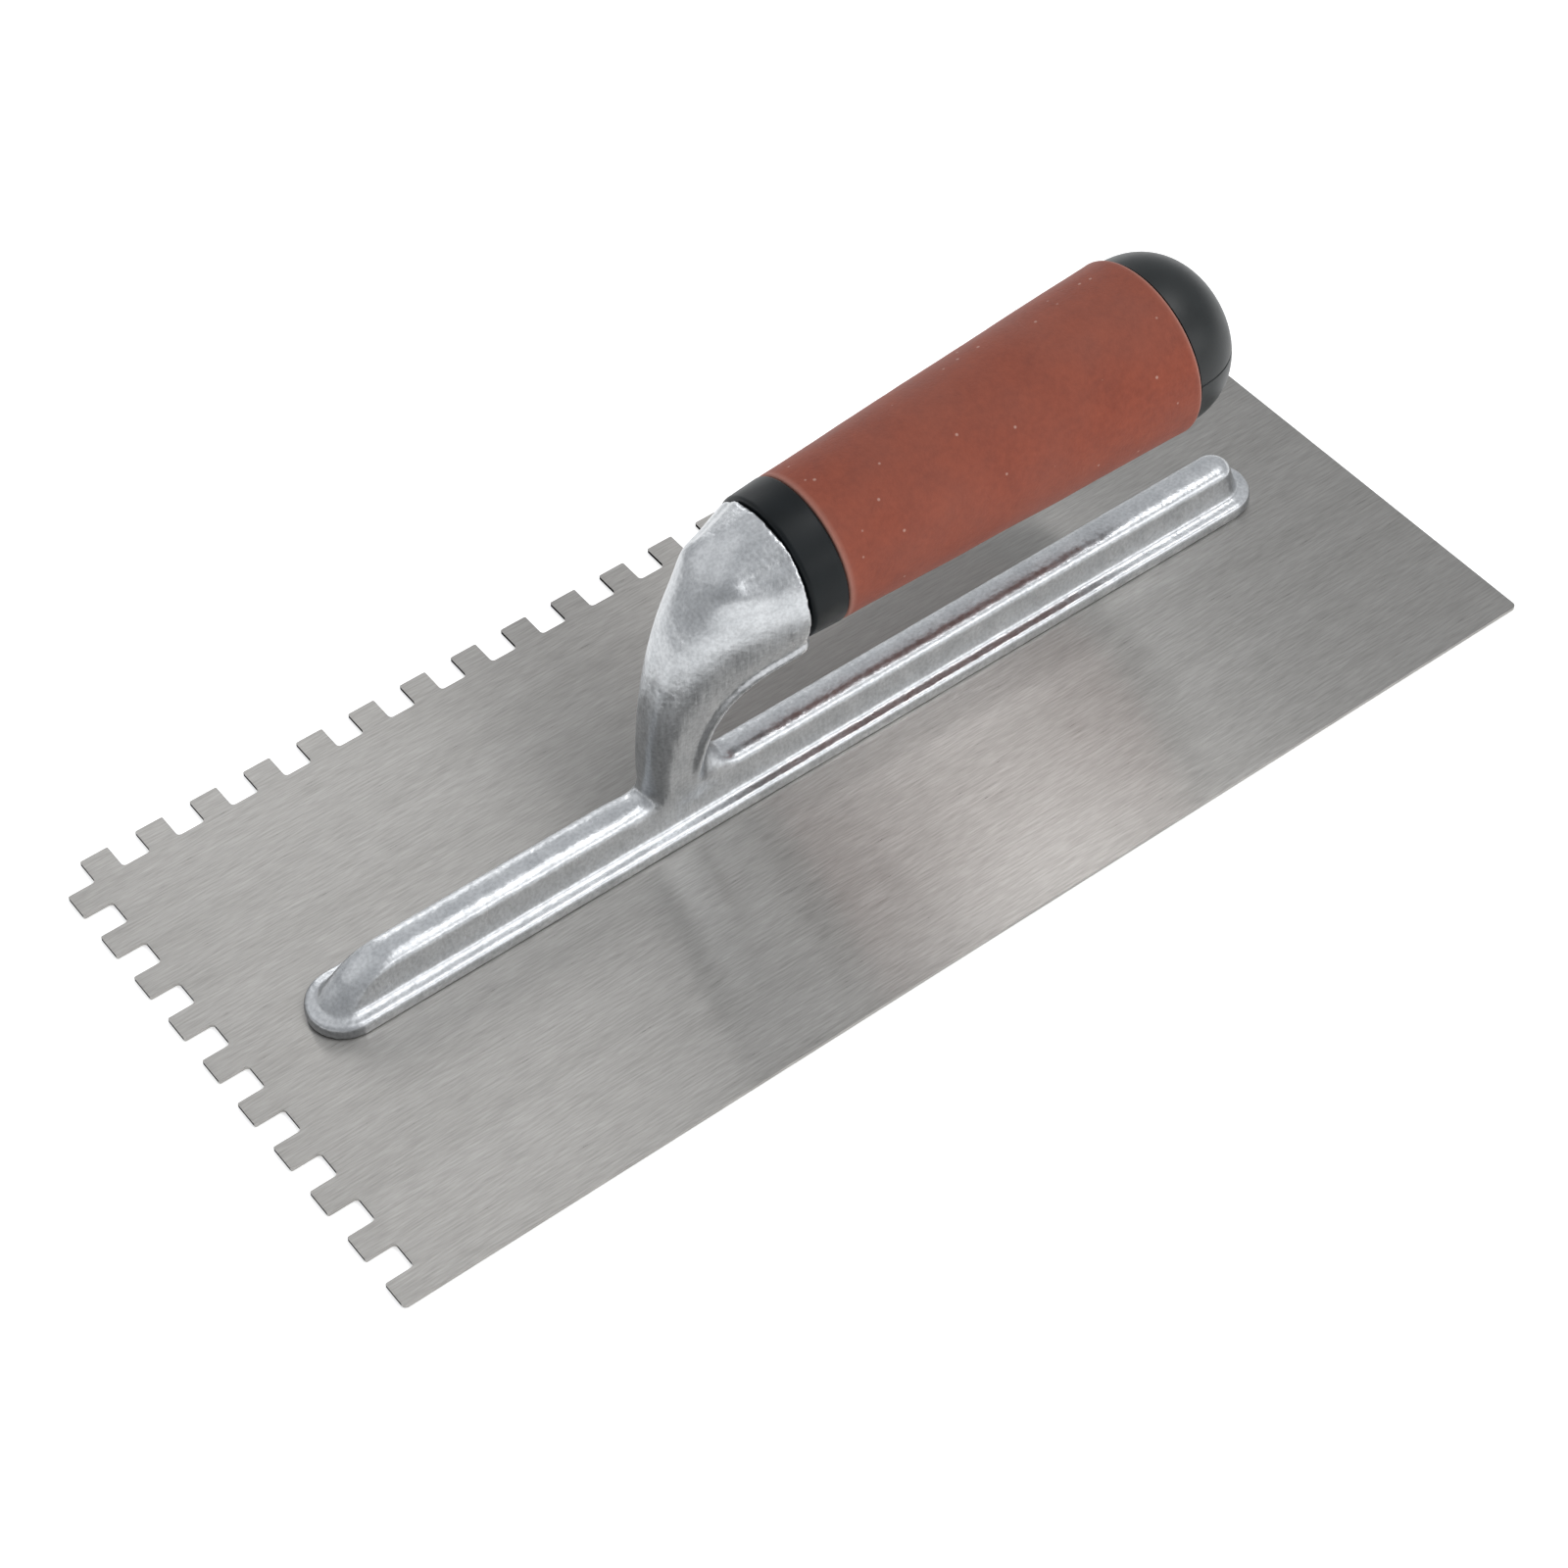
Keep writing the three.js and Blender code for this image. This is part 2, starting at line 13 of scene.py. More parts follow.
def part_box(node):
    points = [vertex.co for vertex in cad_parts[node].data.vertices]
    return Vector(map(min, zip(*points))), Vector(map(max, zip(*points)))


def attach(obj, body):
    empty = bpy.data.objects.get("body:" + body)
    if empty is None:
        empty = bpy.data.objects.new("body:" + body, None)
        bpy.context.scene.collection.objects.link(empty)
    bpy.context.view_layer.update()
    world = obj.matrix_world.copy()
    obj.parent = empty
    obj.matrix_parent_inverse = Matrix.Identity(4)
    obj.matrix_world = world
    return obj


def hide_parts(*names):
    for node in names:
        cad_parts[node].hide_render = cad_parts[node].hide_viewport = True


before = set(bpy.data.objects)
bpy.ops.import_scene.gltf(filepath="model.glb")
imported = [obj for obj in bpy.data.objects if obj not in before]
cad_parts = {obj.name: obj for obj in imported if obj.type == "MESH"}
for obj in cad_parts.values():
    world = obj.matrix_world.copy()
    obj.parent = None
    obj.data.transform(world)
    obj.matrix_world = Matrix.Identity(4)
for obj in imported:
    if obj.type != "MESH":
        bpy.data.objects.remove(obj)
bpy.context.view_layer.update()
MM = 0.001

# ---- Blade ----
# A sheet of hardened spring steel, ground and brushed along its length. A press cuts the square notches, one
# pitch apart along the back edge and the left end, and a row of countersunk holes for the rivets.

NOTCH = 6.35 * MM
PITCH = 2 * NOTCH
blade_low, blade_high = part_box("blade")
blade_size = blade_high - blade_low
BLADE_TOP = blade_high.z
rivet_names = sorted(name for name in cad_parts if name.startswith("blade_rivet"))
rivet_places = [sum(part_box(name), Vector()) / 2 for name in rivet_names]
RIVET_HEAD_RADIUS = (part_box(rivet_names[0])[1].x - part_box(rivet_names[0])[0].x) / 2
RIVET_SHANK_RADIUS = 2 * MM
RIVET_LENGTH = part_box(rivet_names[0])[1].z
RIVET_CLEARANCE = 0.15 * MM
HOLE_SIDES = 24
HOLE_RIM_ZONE = 1.2
PLAIN_CORNERS = 3
FILLET_STEPS = 4
WELD_DISTANCE = 0.005 * MM
COUNT_SLACK = 1e-6


def add(tree, kind, feeds=None, **settings):
    """Adds a node, sets it up, and feeds its inputs with values, sockets or other nodes' results."""
    node = tree.nodes.new(kind)
    for name, value in settings.items():
        setattr(node, name, value)
    for key, value in (feeds or {}).items():
        if isinstance(value, bpy.types.Node):
            value = next(socket for socket in value.outputs if socket.enabled)
        if isinstance(value, bpy.types.NodeSocket):
            tree.links.new(value, node.inputs[key])
        else:
            node.inputs[key].default_value = value
    return node


def new_shape(name, inputs):
    """An empty Geometry Nodes tree with these named inputs and one result."""
    tree = bpy.data.node_groups.new(name, "GeometryNodeTree")
    kinds = {float: "NodeSocketFloat", int: "NodeSocketInt", str: "NodeSocketMaterial"}
    for title, kind in inputs.items():
        tree.interface.new_socket(title, in_out="INPUT", socket_type=kinds[kind])
    tree.interface.new_socket("Result", in_out="OUTPUT", socket_type="NodeSocketGeometry")
    return tree, add(tree, "NodeGroupInput").outputs


def grow(name, tree, values):
    """The result of a Geometry Nodes tree with these values, as an object with a plain mesh."""
    piece = bpy.data.objects.new(name, bpy.data.meshes.new(name))
    bpy.context.scene.collection.objects.link(piece)
    modifier = piece.modifiers.new(name, "NODES")
    modifier.node_group = tree
    for socket in tree.interface.items_tree:
        if socket.in_out == "INPUT":
            modifier[socket.identifier] = values[socket.name]
    graph = bpy.context.evaluated_depsgraph_get()
    mesh = bpy.data.meshes.new_from_object(piece.evaluated_get(graph))
    piece.modifiers.clear()
    piece.data = mesh
    return piece


def linear(hex_colour):
    """An sRGB hex colour as linear red, green, blue and alpha."""
    parts = [int(hex_colour[i : i + 2], 16) / 255 for i in (1, 3, 5)]
    return tuple(c / 12.92 if c <= 0.04045 else ((c + 0.055) / 1.055) ** 2.4 for c in parts) + (1.0,)


def per_metre(*sizes):
    """How often a pattern of these sizes, in millimetres, repeats in a metre along each axis."""
    return tuple(1 / (size * MM) for size in sizes)


def new_finish(name):
    """An empty material, and its node tree."""
    made = bpy.data.materials.new(name)
    made.use_nodes = True
    made.node_tree.nodes.clear()
    return made, made.node_tree


# Brushed spring steel: fine scratches along X, with broader bands from the belt. Real scratches are too fine
# to show, so these are 6 mm long and 0.4 mm apart. They stretch every reflection across the blade, along Y.
brushed_steel, tree = new_finish("brushed_spring_steel")
place = add(tree, "ShaderNodeTexCoord").outputs["Object"]
along = add(tree, "ShaderNodeMapping", {"Vector": place, "Scale": per_metre(6, 0.4, 9)})
scratches = add(tree, "ShaderNodeTexNoise", {
    "Vector": along, "Scale": 1.0, "Detail": 3.0, "Roughness": 0.65})
broad = add(tree, "ShaderNodeMapping", {"Vector": place, "Scale": per_metre(90, 5, 9)})
bands = add(tree, "ShaderNodeTexNoise", {"Vector": broad, "Scale": 1.0, "Detail": 2.0})
tone = add(tree, "ShaderNodeMix", {
    0: scratches, 6: linear("#8c8a87"), 7: linear("#c8c6c3")}, data_type="RGBA")
worn = add(tree, "ShaderNodeMix", {0: bands, 6: linear("#dededd"), 7: linear("#f4f4f4")}, data_type="RGBA")
colour = add(tree, "ShaderNodeMix", {0: 1.0, 6: tone, 7: worn}, data_type="RGBA", blend_type="MULTIPLY")
rough = add(tree, "ShaderNodeMapRange", {"Value": scratches, "To Min": 0.25, "To Max": 0.34})
height = add(tree, "ShaderNodeBump", {"Height": scratches, "Strength": 0.5, "Distance": 0.02 * MM})
grain = add(tree, "ShaderNodeTangent", direction_type="UV_MAP", uv_map="brushing")
metal = add(tree, "ShaderNodeBsdfPrincipled", {
    "Base Color": colour, "Metallic": 1.0, "Roughness": rough, "Anisotropic": 1.0, "Tangent": grain,
    "Normal": height})
add(tree, "ShaderNodeOutputMaterial", {"Surface": metal})

# A row of square notches as points, running towards -X and cut towards -Y, with the rounding of each corner.
# Each notch has four, in turn: mouth, root, root, mouth. The row's last point is rounded as a tooth's tip,
# because its last notch may run out through the blade's next edge.
row, given = new_shape("notch_row", {
    "Corners": int, "First": float, "Notch": float, "Pitch": float, "Root Rounding": float,
    "Tip Rounding": float})
index = add(row, "GeometryNodeInputIndex")
phase = add(row, "ShaderNodeMath", {0: index, 1: 4.0}, operation="MODULO")
quarter = add(row, "ShaderNodeMath", {0: index, 1: 4.0}, operation="DIVIDE")
number = add(row, "ShaderNodeMath", {0: quarter}, operation="FLOOR")
far_side = add(row, "ShaderNodeMath", {0: phase, 1: 1.5}, operation="GREATER_THAN")
deep = add(row, "ShaderNodeMath", {0: phase, 1: 1.5, 2: 0.6}, operation="COMPARE")
travel = add(row, "ShaderNodeMath", {0: number, 1: given["Pitch"]}, operation="MULTIPLY")
reach = add(row, "ShaderNodeMath", {0: far_side, 1: given["Notch"], 2: travel}, operation="MULTIPLY_ADD")
left = add(row, "ShaderNodeMath", {0: reach, 1: -1.0}, operation="MULTIPLY")
cut = add(row, "ShaderNodeMath", {0: deep, 1: given["Notch"]}, operation="MULTIPLY")
down = add(row, "ShaderNodeMath", {0: cut, 1: -1.0}, operation="MULTIPLY")
spot = add(row, "ShaderNodeCombineXYZ", {"X": left, "Y": down})
points = add(row, "GeometryNodePoints", {"Count": given["Corners"], "Position": spot})
last = add(row, "ShaderNodeMath", {0: given["Corners"], 1: 1.5}, operation="SUBTRACT")
inner = add(row, "ShaderNodeMath", {0: index, 1: last}, operation="LESS_THAN")
is_root = add(row, "ShaderNodeMath", {0: deep, 1: inner}, operation="MULTIPLY")
rounding = add(row, "ShaderNodeMapRange", {
    "Value": is_root, "To Min": given["Tip Rounding"], "To Max": given["Root Rounding"]})
rounded = add(row, "GeometryNodeStoreNamedAttribute", {
    "Geometry": points, "Name": "rounding", "Value": rounding})
order = add(row, "ShaderNodeMath", {0: index, 1: given["First"]}, operation="ADD")
ordered = add(row, "GeometryNodeStoreNamedAttribute", {"Geometry": rounded, "Name": "order", "Value": order})
add(row, "NodeGroupOutput", {"Result": ordered})

# The whole blade: an outline through three plain corners and two rows of notches, rounded at each corner,
# filled round the rivet holes, and given its thickness. Each hole narrows towards the top.
SHORT_ROW_START = 1000.0
sheet, given = new_shape("punched_blade", {
    "Length": float, "Width": float, "Thickness": float, "Notch": float, "Pitch": float,
    "Long Edge Corners": int, "Short Edge Corners": int, "Corner Rounding": float, "Root Rounding": float,
    "Tip Rounding": float, "Holes": int, "Hole Span": float, "Hole Mouth": float, "Hole Bore": float,
    "Material": str})
half_length = add(sheet, "ShaderNodeMath", {0: given["Length"], 1: 0.5}, operation="MULTIPLY")
half_width = add(sheet, "ShaderNodeMath", {0: given["Width"], 1: 0.5}, operation="MULTIPLY")
minus_length = add(sheet, "ShaderNodeMath", {0: given["Length"], 1: -0.5}, operation="MULTIPLY")
minus_width = add(sheet, "ShaderNodeMath", {0: given["Width"], 1: -0.5}, operation="MULTIPLY")
index = add(sheet, "GeometryNodeInputIndex")
at_right = add(sheet, "ShaderNodeMath", {0: index, 1: 0.5}, operation="GREATER_THAN")
at_back = add(sheet, "ShaderNodeMath", {0: index, 1: 1.5}, operation="GREATER_THAN")
corner_x = add(sheet, "ShaderNodeMapRange", {
    "Value": at_right, "To Min": minus_length, "To Max": half_length})
corner_y = add(sheet, "ShaderNodeMapRange", {"Value": at_back, "To Min": minus_width, "To Max": half_width})
corner = add(sheet, "ShaderNodeCombineXYZ", {"X": corner_x, "Y": corner_y})
corners = add(sheet, "GeometryNodePoints", {"Count": PLAIN_CORNERS, "Position": corner})
corners = add(sheet, "GeometryNodeStoreNamedAttribute", {
    "Geometry": corners, "Name": "rounding", "Value": given["Corner Rounding"]})
corners = add(sheet, "GeometryNodeStoreNamedAttribute", {
    "Geometry": corners, "Name": "order", "Value": index})
shared = {name: given[name] for name in ("Notch", "Pitch", "Root Rounding", "Tip Rounding")}
long_row = add(sheet, "GeometryNodeGroup")
long_row.node_tree = row
short_row = add(sheet, "GeometryNodeGroup")
short_row.node_tree = row
for group, count, first in (
    (long_row, given["Long Edge Corners"], float(PLAIN_CORNERS)),
    (short_row, given["Short Edge Corners"], SHORT_ROW_START),
):
    sheet.links.new(count, group.inputs["Corners"])
    group.inputs["First"].default_value = first
    for name, socket in shared.items():
        sheet.links.new(socket, group.inputs[name])
turns = add(sheet, "ShaderNodeMath", {0: given["Long Edge Corners"], 1: 0.25}, operation="MULTIPLY")
whole = add(sheet, "ShaderNodeMath", {0: turns}, operation="FLOOR")
run = add(sheet, "ShaderNodeMath", {
    0: whole, 1: given["Pitch"], 2: given["Notch"]}, operation="MULTIPLY_ADD")
row_start = add(sheet, "ShaderNodeMath", {0: minus_length, 1: run}, operation="ADD")
long_place = add(sheet, "ShaderNodeCombineXYZ", {"X": row_start, "Y": half_width})
long_edge = add(sheet, "GeometryNodeTransform", {"Geometry": long_row, "Translation": long_place})
short_start = add(sheet, "ShaderNodeMath", {0: half_width, 1: given["Pitch"]}, operation="SUBTRACT")
short_place = add(sheet, "ShaderNodeCombineXYZ", {"X": minus_length, "Y": short_start})
short_edge = add(sheet, "GeometryNodeTransform", {
    "Geometry": short_row, "Translation": short_place, "Rotation": (0, 0, math.pi / 2)})
all_points = add(sheet, "GeometryNodeJoinGeometry", {"Geometry": corners})
for part in (long_edge, short_edge):
    sheet.links.new(part.outputs[0], all_points.inputs[0])
order = add(sheet, "GeometryNodeInputNamedAttribute", {"Name": "order"}, data_type="FLOAT")
outline = add(sheet, "GeometryNodePointsToCurves", {"Points": all_points, "Weight": order})
closed = add(sheet, "GeometryNodeSetSplineCyclic", {"Geometry": outline, "Cyclic": True})
rounding = add(sheet, "GeometryNodeInputNamedAttribute", {"Name": "rounding"}, data_type="FLOAT")
filleted = add(sheet, "GeometryNodeFilletCurve", {
    "Curve": closed, "Count": FILLET_STEPS, "Radius": rounding, "Limit Radius": True}, mode="POLY")
first_hole = add(sheet, "ShaderNodeMath", {0: given["Hole Span"], 1: -0.5}, operation="MULTIPLY")
gaps = add(sheet, "ShaderNodeMath", {0: given["Holes"], 1: 1.0}, operation="SUBTRACT")
hole_step = add(sheet, "ShaderNodeMath", {0: given["Hole Span"], 1: gaps}, operation="DIVIDE")
hole_start = add(sheet, "ShaderNodeCombineXYZ", {"X": first_hole})
hole_offset = add(sheet, "ShaderNodeCombineXYZ", {"X": hole_step})
hole_line = add(sheet, "GeometryNodeMeshLine", {
    "Count": given["Holes"], "Start Location": hole_start, "Offset": hole_offset})
ring = add(sheet, "GeometryNodeCurvePrimitiveCircle", {
    "Resolution": HOLE_SIDES, "Radius": given["Hole Mouth"]})
rings = add(sheet, "GeometryNodeInstanceOnPoints", {"Points": hole_line, "Instance": ring})
real_rings = add(sheet, "GeometryNodeRealizeInstances", {"Geometry": rings})
curves = add(sheet, "GeometryNodeJoinGeometry", {"Geometry": filleted})
sheet.links.new(real_rings.outputs[0], curves.inputs[0])
face = add(sheet, "GeometryNodeFillCurve", {"Curve": curves}, mode="TRIANGLES")
raised = add(sheet, "GeometryNodeExtrudeMesh", {
    "Mesh": face, "Offset Scale": given["Thickness"], "Individual": False})
under = add(sheet, "GeometryNodeFlipFaces", {"Mesh": face})
both = add(sheet, "GeometryNodeJoinGeometry", {"Geometry": raised.outputs["Mesh"]})
sheet.links.new(under.outputs[0], both.inputs[0])
solid = add(sheet, "GeometryNodeMergeByDistance", {"Geometry": both, "Distance": WELD_DISTANCE})
position = add(sheet, "GeometryNodeInputPosition")
split = add(sheet, "ShaderNodeSeparateXYZ", {"Vector": position})
from_first = add(sheet, "ShaderNodeMath", {0: split.outputs["X"], 1: first_hole}, operation="SUBTRACT")
steps = add(sheet, "ShaderNodeMath", {0: from_first, 1: hole_step}, operation="DIVIDE")
nearest = add(sheet, "ShaderNodeMath", {0: steps}, operation="ROUND")
centre_x = add(sheet, "ShaderNodeMath", {0: nearest, 1: hole_step, 2: first_hole}, operation="MULTIPLY_ADD")
off_x = add(sheet, "ShaderNodeMath", {0: split.outputs["X"], 1: centre_x}, operation="SUBTRACT")
narrowing = add(sheet, "ShaderNodeMath", {0: given["Hole Bore"], 1: given["Hole Mouth"]}, operation="DIVIDE")
new_off_x = add(sheet, "ShaderNodeMath", {0: off_x, 1: narrowing, 2: centre_x}, operation="MULTIPLY_ADD")
new_y = add(sheet, "ShaderNodeMath", {0: split.outputs["Y"], 1: narrowing}, operation="MULTIPLY")
rim = add(sheet, "ShaderNodeCombineXYZ", {"X": new_off_x, "Y": new_y, "Z": split.outputs["Z"]})
off_y = add(sheet, "ShaderNodeMath", {0: split.outputs["Y"]}, operation="ABSOLUTE")
wide_mouth = add(sheet, "ShaderNodeMath", {0: given["Hole Mouth"], 1: HOLE_RIM_ZONE}, operation="MULTIPLY")
away_x = add(sheet, "ShaderNodeMath", {0: off_x}, operation="ABSOLUTE")
farther = add(sheet, "ShaderNodeMath", {0: off_y, 1: away_x}, operation="MAXIMUM")
near_hole = add(sheet, "ShaderNodeMath", {0: farther, 1: wide_mouth}, operation="LESS_THAN")
half_way = add(sheet, "ShaderNodeMath", {0: given["Thickness"], 1: 0.5}, operation="MULTIPLY")
on_top = add(sheet, "ShaderNodeMath", {0: split.outputs["Z"], 1: half_way}, operation="GREATER_THAN")
chosen = add(sheet, "ShaderNodeMath", {0: near_hole, 1: on_top}, operation="MULTIPLY")
sunk = add(sheet, "GeometryNodeSetPosition", {"Geometry": solid, "Selection": chosen, "Position": rim})
flat_map = add(sheet, "ShaderNodeCombineXYZ", {"X": split.outputs["Y"], "Y": split.outputs["X"]})
mapped = add(sheet, "GeometryNodeStoreNamedAttribute", {
    "Name": "brushing", "Geometry": sunk}, data_type="FLOAT2", domain="CORNER")
sheet.links.new(flat_map.outputs[0], next(s for s in mapped.inputs if s.name == "Value" and s.enabled))
realized = add(sheet, "GeometryNodeRealizeInstances", {"Geometry": mapped})
finished = add(sheet, "GeometryNodeSetMaterial", {"Geometry": realized, "Material": given["Material"]})
add(sheet, "NodeGroupOutput", {"Result": finished})

long_notches = int(blade_size.x / PITCH + COUNT_SLACK)
short_notches = int(blade_size.y / PITCH + COUNT_SLACK)
blade = grow("punched_blade", sheet, {
    "Length": blade_size.x, "Width": blade_size.y, "Thickness": blade_size.z, "Notch": NOTCH, "Pitch": PITCH,
    "Long Edge Corners": 4 * long_notches - 1, "Short Edge Corners": 4 * (short_notches - 1),
    "Corner Rounding": 1 * MM, "Root Rounding": 0.8 * MM, "Tip Rounding": 0.35 * MM,
    "Holes": len(rivet_names), "Hole Span": rivet_places[-1].x - rivet_places[0].x,
    "Hole Mouth": RIVET_HEAD_RADIUS + RIVET_CLEARANCE, "Hole Bore": RIVET_SHANK_RADIUS + RIVET_CLEARANCE,
    "Material": brushed_steel})
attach(blade, "root")
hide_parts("blade")

# ---- Blade rivets ----
# Ten steel rivets with countersunk heads, driven up through the blade into the bar and ground flush with the
# blade's underside, so that only faint rings show there.

# Ground rivet steel: the same belt scratches as the blade, a little brighter and closer together.
ground_steel, tree = new_finish("ground_rivet_steel")
place = add(tree, "ShaderNodeTexCoord").outputs["Object"]
along = add(tree, "ShaderNodeMapping", {"Vector": place, "Scale": per_metre(9, 0.3, 2)})
scratches = add(tree, "ShaderNodeTexNoise", {"Vector": along, "Scale": 1.0, "Detail": 2.0})
colour = add(tree, "ShaderNodeMix", {
    0: scratches, 6: linear("#9c9a98"), 7: linear("#c9c8c6")}, data_type="RGBA")
rough = add(tree, "ShaderNodeMapRange", {"Value": scratches, "To Min": 0.25, "To Max": 0.45})
height = add(tree, "ShaderNodeBump", {"Height": scratches, "Strength": 0.3, "Distance": 0.02 * MM})
metal = add(tree, "ShaderNodeBsdfPrincipled", {
    "Base Color": colour, "Metallic": 1.0, "Roughness": rough, "Normal": height})
add(tree, "ShaderNodeOutputMaterial", {"Surface": metal})

# One rivet is a tube of four rings, each put at its own height and radius, copied along a line. The tube
# starts with a radius of 1, and with its rings 1 apart from -1.5 to 1.5.
rivets, given = new_shape("rivet_line", {
    "Count": int, "First": float, "Step": float, "Head Radius": float, "Shank Radius": float,
    "Head Height": float, "Length": float, "Chamfer": float, "Material": str})
tube = add(rivets, "GeometryNodeMeshCylinder", {
    "Vertices": HOLE_SIDES, "Side Segments": 3, "Radius": 1.0, "Depth": 3.0})
position = add(rivets, "GeometryNodeInputPosition")
split = add(rivets, "ShaderNodeSeparateXYZ", {"Vector": position})
level = add(rivets, "ShaderNodeMath", {0: split.outputs["Z"], 1: 1.5}, operation="ADD")
ring_number = add(rivets, "FunctionNodeFloatToInt", {0: level}, rounding_mode="ROUND")
tip = add(rivets, "ShaderNodeMath", {0: given["Shank Radius"], 1: given["Chamfer"]}, operation="SUBTRACT")
shoulder = add(rivets, "ShaderNodeMath", {0: given["Length"], 1: given["Chamfer"]}, operation="SUBTRACT")
radius = add(rivets, "GeometryNodeIndexSwitch", {"Index": ring_number}, data_type="FLOAT")
rise = add(rivets, "GeometryNodeIndexSwitch", {"Index": ring_number}, data_type="FLOAT")
for switch in (radius, rise):
    for _ in range(2):
        switch.index_switch_items.new()
ring_radii = (given["Head Radius"], given["Shank Radius"], given["Shank Radius"], tip.outputs[0])
upper_ring_heights = (given["Head Height"], shoulder.outputs[0], given["Length"])
for switch, first, values in ((radius, 1, ring_radii), (rise, 2, upper_ring_heights)):
    for socket, value in zip(list(switch.inputs)[first:], values):
        rivets.links.new(value, socket)
ring_x = add(rivets, "ShaderNodeMath", {0: split.outputs["X"], 1: radius}, operation="MULTIPLY")
ring_y = add(rivets, "ShaderNodeMath", {0: split.outputs["Y"], 1: radius}, operation="MULTIPLY")
ring_place = add(rivets, "ShaderNodeCombineXYZ", {"X": ring_x, "Y": ring_y, "Z": rise})
rivet = add(rivets, "GeometryNodeSetPosition", {"Geometry": tube.outputs["Mesh"], "Position": ring_place})
start = add(rivets, "ShaderNodeCombineXYZ", {"X": given["First"]})
step = add(rivets, "ShaderNodeCombineXYZ", {"X": given["Step"]})
line = add(rivets, "GeometryNodeMeshLine", {
    "Count": given["Count"], "Start Location": start, "Offset": step})
placed = add(rivets, "GeometryNodeInstanceOnPoints", {"Points": line, "Instance": rivet})
realized = add(rivets, "GeometryNodeRealizeInstances", {"Geometry": placed})
finished = add(rivets, "GeometryNodeSetMaterial", {"Geometry": realized, "Material": given["Material"]})
add(rivets, "NodeGroupOutput", {"Result": finished})

rivet_row = grow("blade_rivets", rivets, {
    "Count": len(rivet_names), "First": rivet_places[0].x,
    "Step": (rivet_places[-1].x - rivet_places[0].x) / (len(rivet_names) - 1),
    "Head Radius": RIVET_HEAD_RADIUS, "Shank Radius": RIVET_SHANK_RADIUS, "Head Height": BLADE_TOP,
    "Length": RIVET_LENGTH, "Chamfer": 0.4 * MM, "Material": ground_steel})
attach(rivet_row, "root")
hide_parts(*rivet_names)

# ---- Mounting ----
# A die casting in aluminium, tumbled bright: a low flanged bar with a raised spine, and the shank that grows
# out of it and flares to a round face for the handle. It keeps the ridge where the die's two halves met.

HANDLE_TILT = math.radians(2.1)
FACE_RADIUS = 15.3 * MM
axis = Vector((math.cos(HANDLE_TILT), 0, math.sin(HANDLE_TILT)))
side = Vector((0, 1, 0))
up = Vector((-math.sin(HANDLE_TILT), 0, math.cos(HANDLE_TILT)))
tang_centre = sum(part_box("tang_rod"), Vector()) / 2


def reach_along_axis(node):
    """How far along the handle's axis a CAD node starts and ends, from the tang's middle, and its radius."""
    offsets = [vertex.co - tang_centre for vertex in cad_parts[node].data.vertices]
    along = [offset.dot(axis) for offset in offsets]
    return min(along), max(along), max((o - o.dot(axis) * axis).length for o in offsets)


def on_axis(distance, radius=0.0, turn=0.0):
    """A point round the handle's axis. Turn 0 is towards the notched long edge, and a quarter turn is up."""
    return tang_centre + distance * axis + radius * (math.cos(turn) * side + math.sin(turn) * up)


def curve(points, count):
    """Points along one cubic Bezier curve."""
    a, b, c, d = (Vector(point) for point in points)
    steps = [i / (count - 1) for i in range(count)]
    return [a * (1 - t) ** 3 + 3 * b * t * (1 - t) ** 2 + 3 * c * t * t * (1 - t) + d * t**3 for t in steps]


def skin(bm, rings):
    """A closed skin over rings of equal count."""
    made = [[bm.verts.new(point) for point in ring] for ring in rings]
    for lower, upper in zip(made, made[1:]):
        for i, vertex in enumerate(lower):
            j = (i + 1) % len(lower)
            bm.faces.new((vertex, lower[j], upper[j], upper[i]))
    bm.faces.new(made[0][::-1])
    bm.faces.new(made[-1])


def shape_object(name, bm):
    """A bmesh as an object, its faces turned outwards."""
    bmesh.ops.recalc_face_normals(bm, faces=bm.faces)
    mesh = bpy.data.meshes.new(name)
    bm.to_mesh(mesh)
    bm.free()
    piece = bpy.data.objects.new(name, mesh)
    bpy.context.scene.collection.objects.link(piece)
    return piece


def apply_modifiers(piece):
    """Makes the result of a piece's modifiers its own mesh."""
    graph = bpy.context.evaluated_depsgraph_get()
    mesh = bpy.data.meshes.new_from_object(piece.evaluated_get(graph))
    piece.modifiers.clear()
    piece.data = mesh


def shade(piece, sharp_degrees):
    """Smooth shading, broken where two faces meet at more than an angle."""
    piece.data.polygons.foreach_set("use_smooth", [True] * len(piece.data.polygons))
    piece.data.set_sharp_from_angle(angle=math.radians(sharp_degrees))


# The bar: half-width against height, from the flange's foot to the spine's crown
bar_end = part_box("mounting")[1].x
FLANGE_HALF_WIDTH = 8.1 * MM
FLANGE_THICKNESS = 3.3 * MM
FLANGE_DRAFT = 0.1 * MM
SPINE_HEIGHT = 11.3 * MM
SPINE_ROOT_HALF_WIDTH = 4.9 * MM
SPINE_TOP_HALF_WIDTH = 4.1 * MM
NOSE_LENGTH = 12 * MM
NOSE_BOW = 2.2
HEEL_RAKE = 0.15
CAST_ROUND = 0.9 * MM
ROOT_ROUND = 1.1 * MM
CROWN_RISE = 3 * MM
CROWN_SQUARENESS = 2.7
CROWN_END = 88
CROWN_STEPS = 14
ROUND_STEPS = 9
BAR_END_STEPS = 25
profile = [(FLANGE_HALF_WIDTH, 0), (FLANGE_HALF_WIDTH - FLANGE_DRAFT, FLANGE_THICKNESS - CAST_ROUND)]
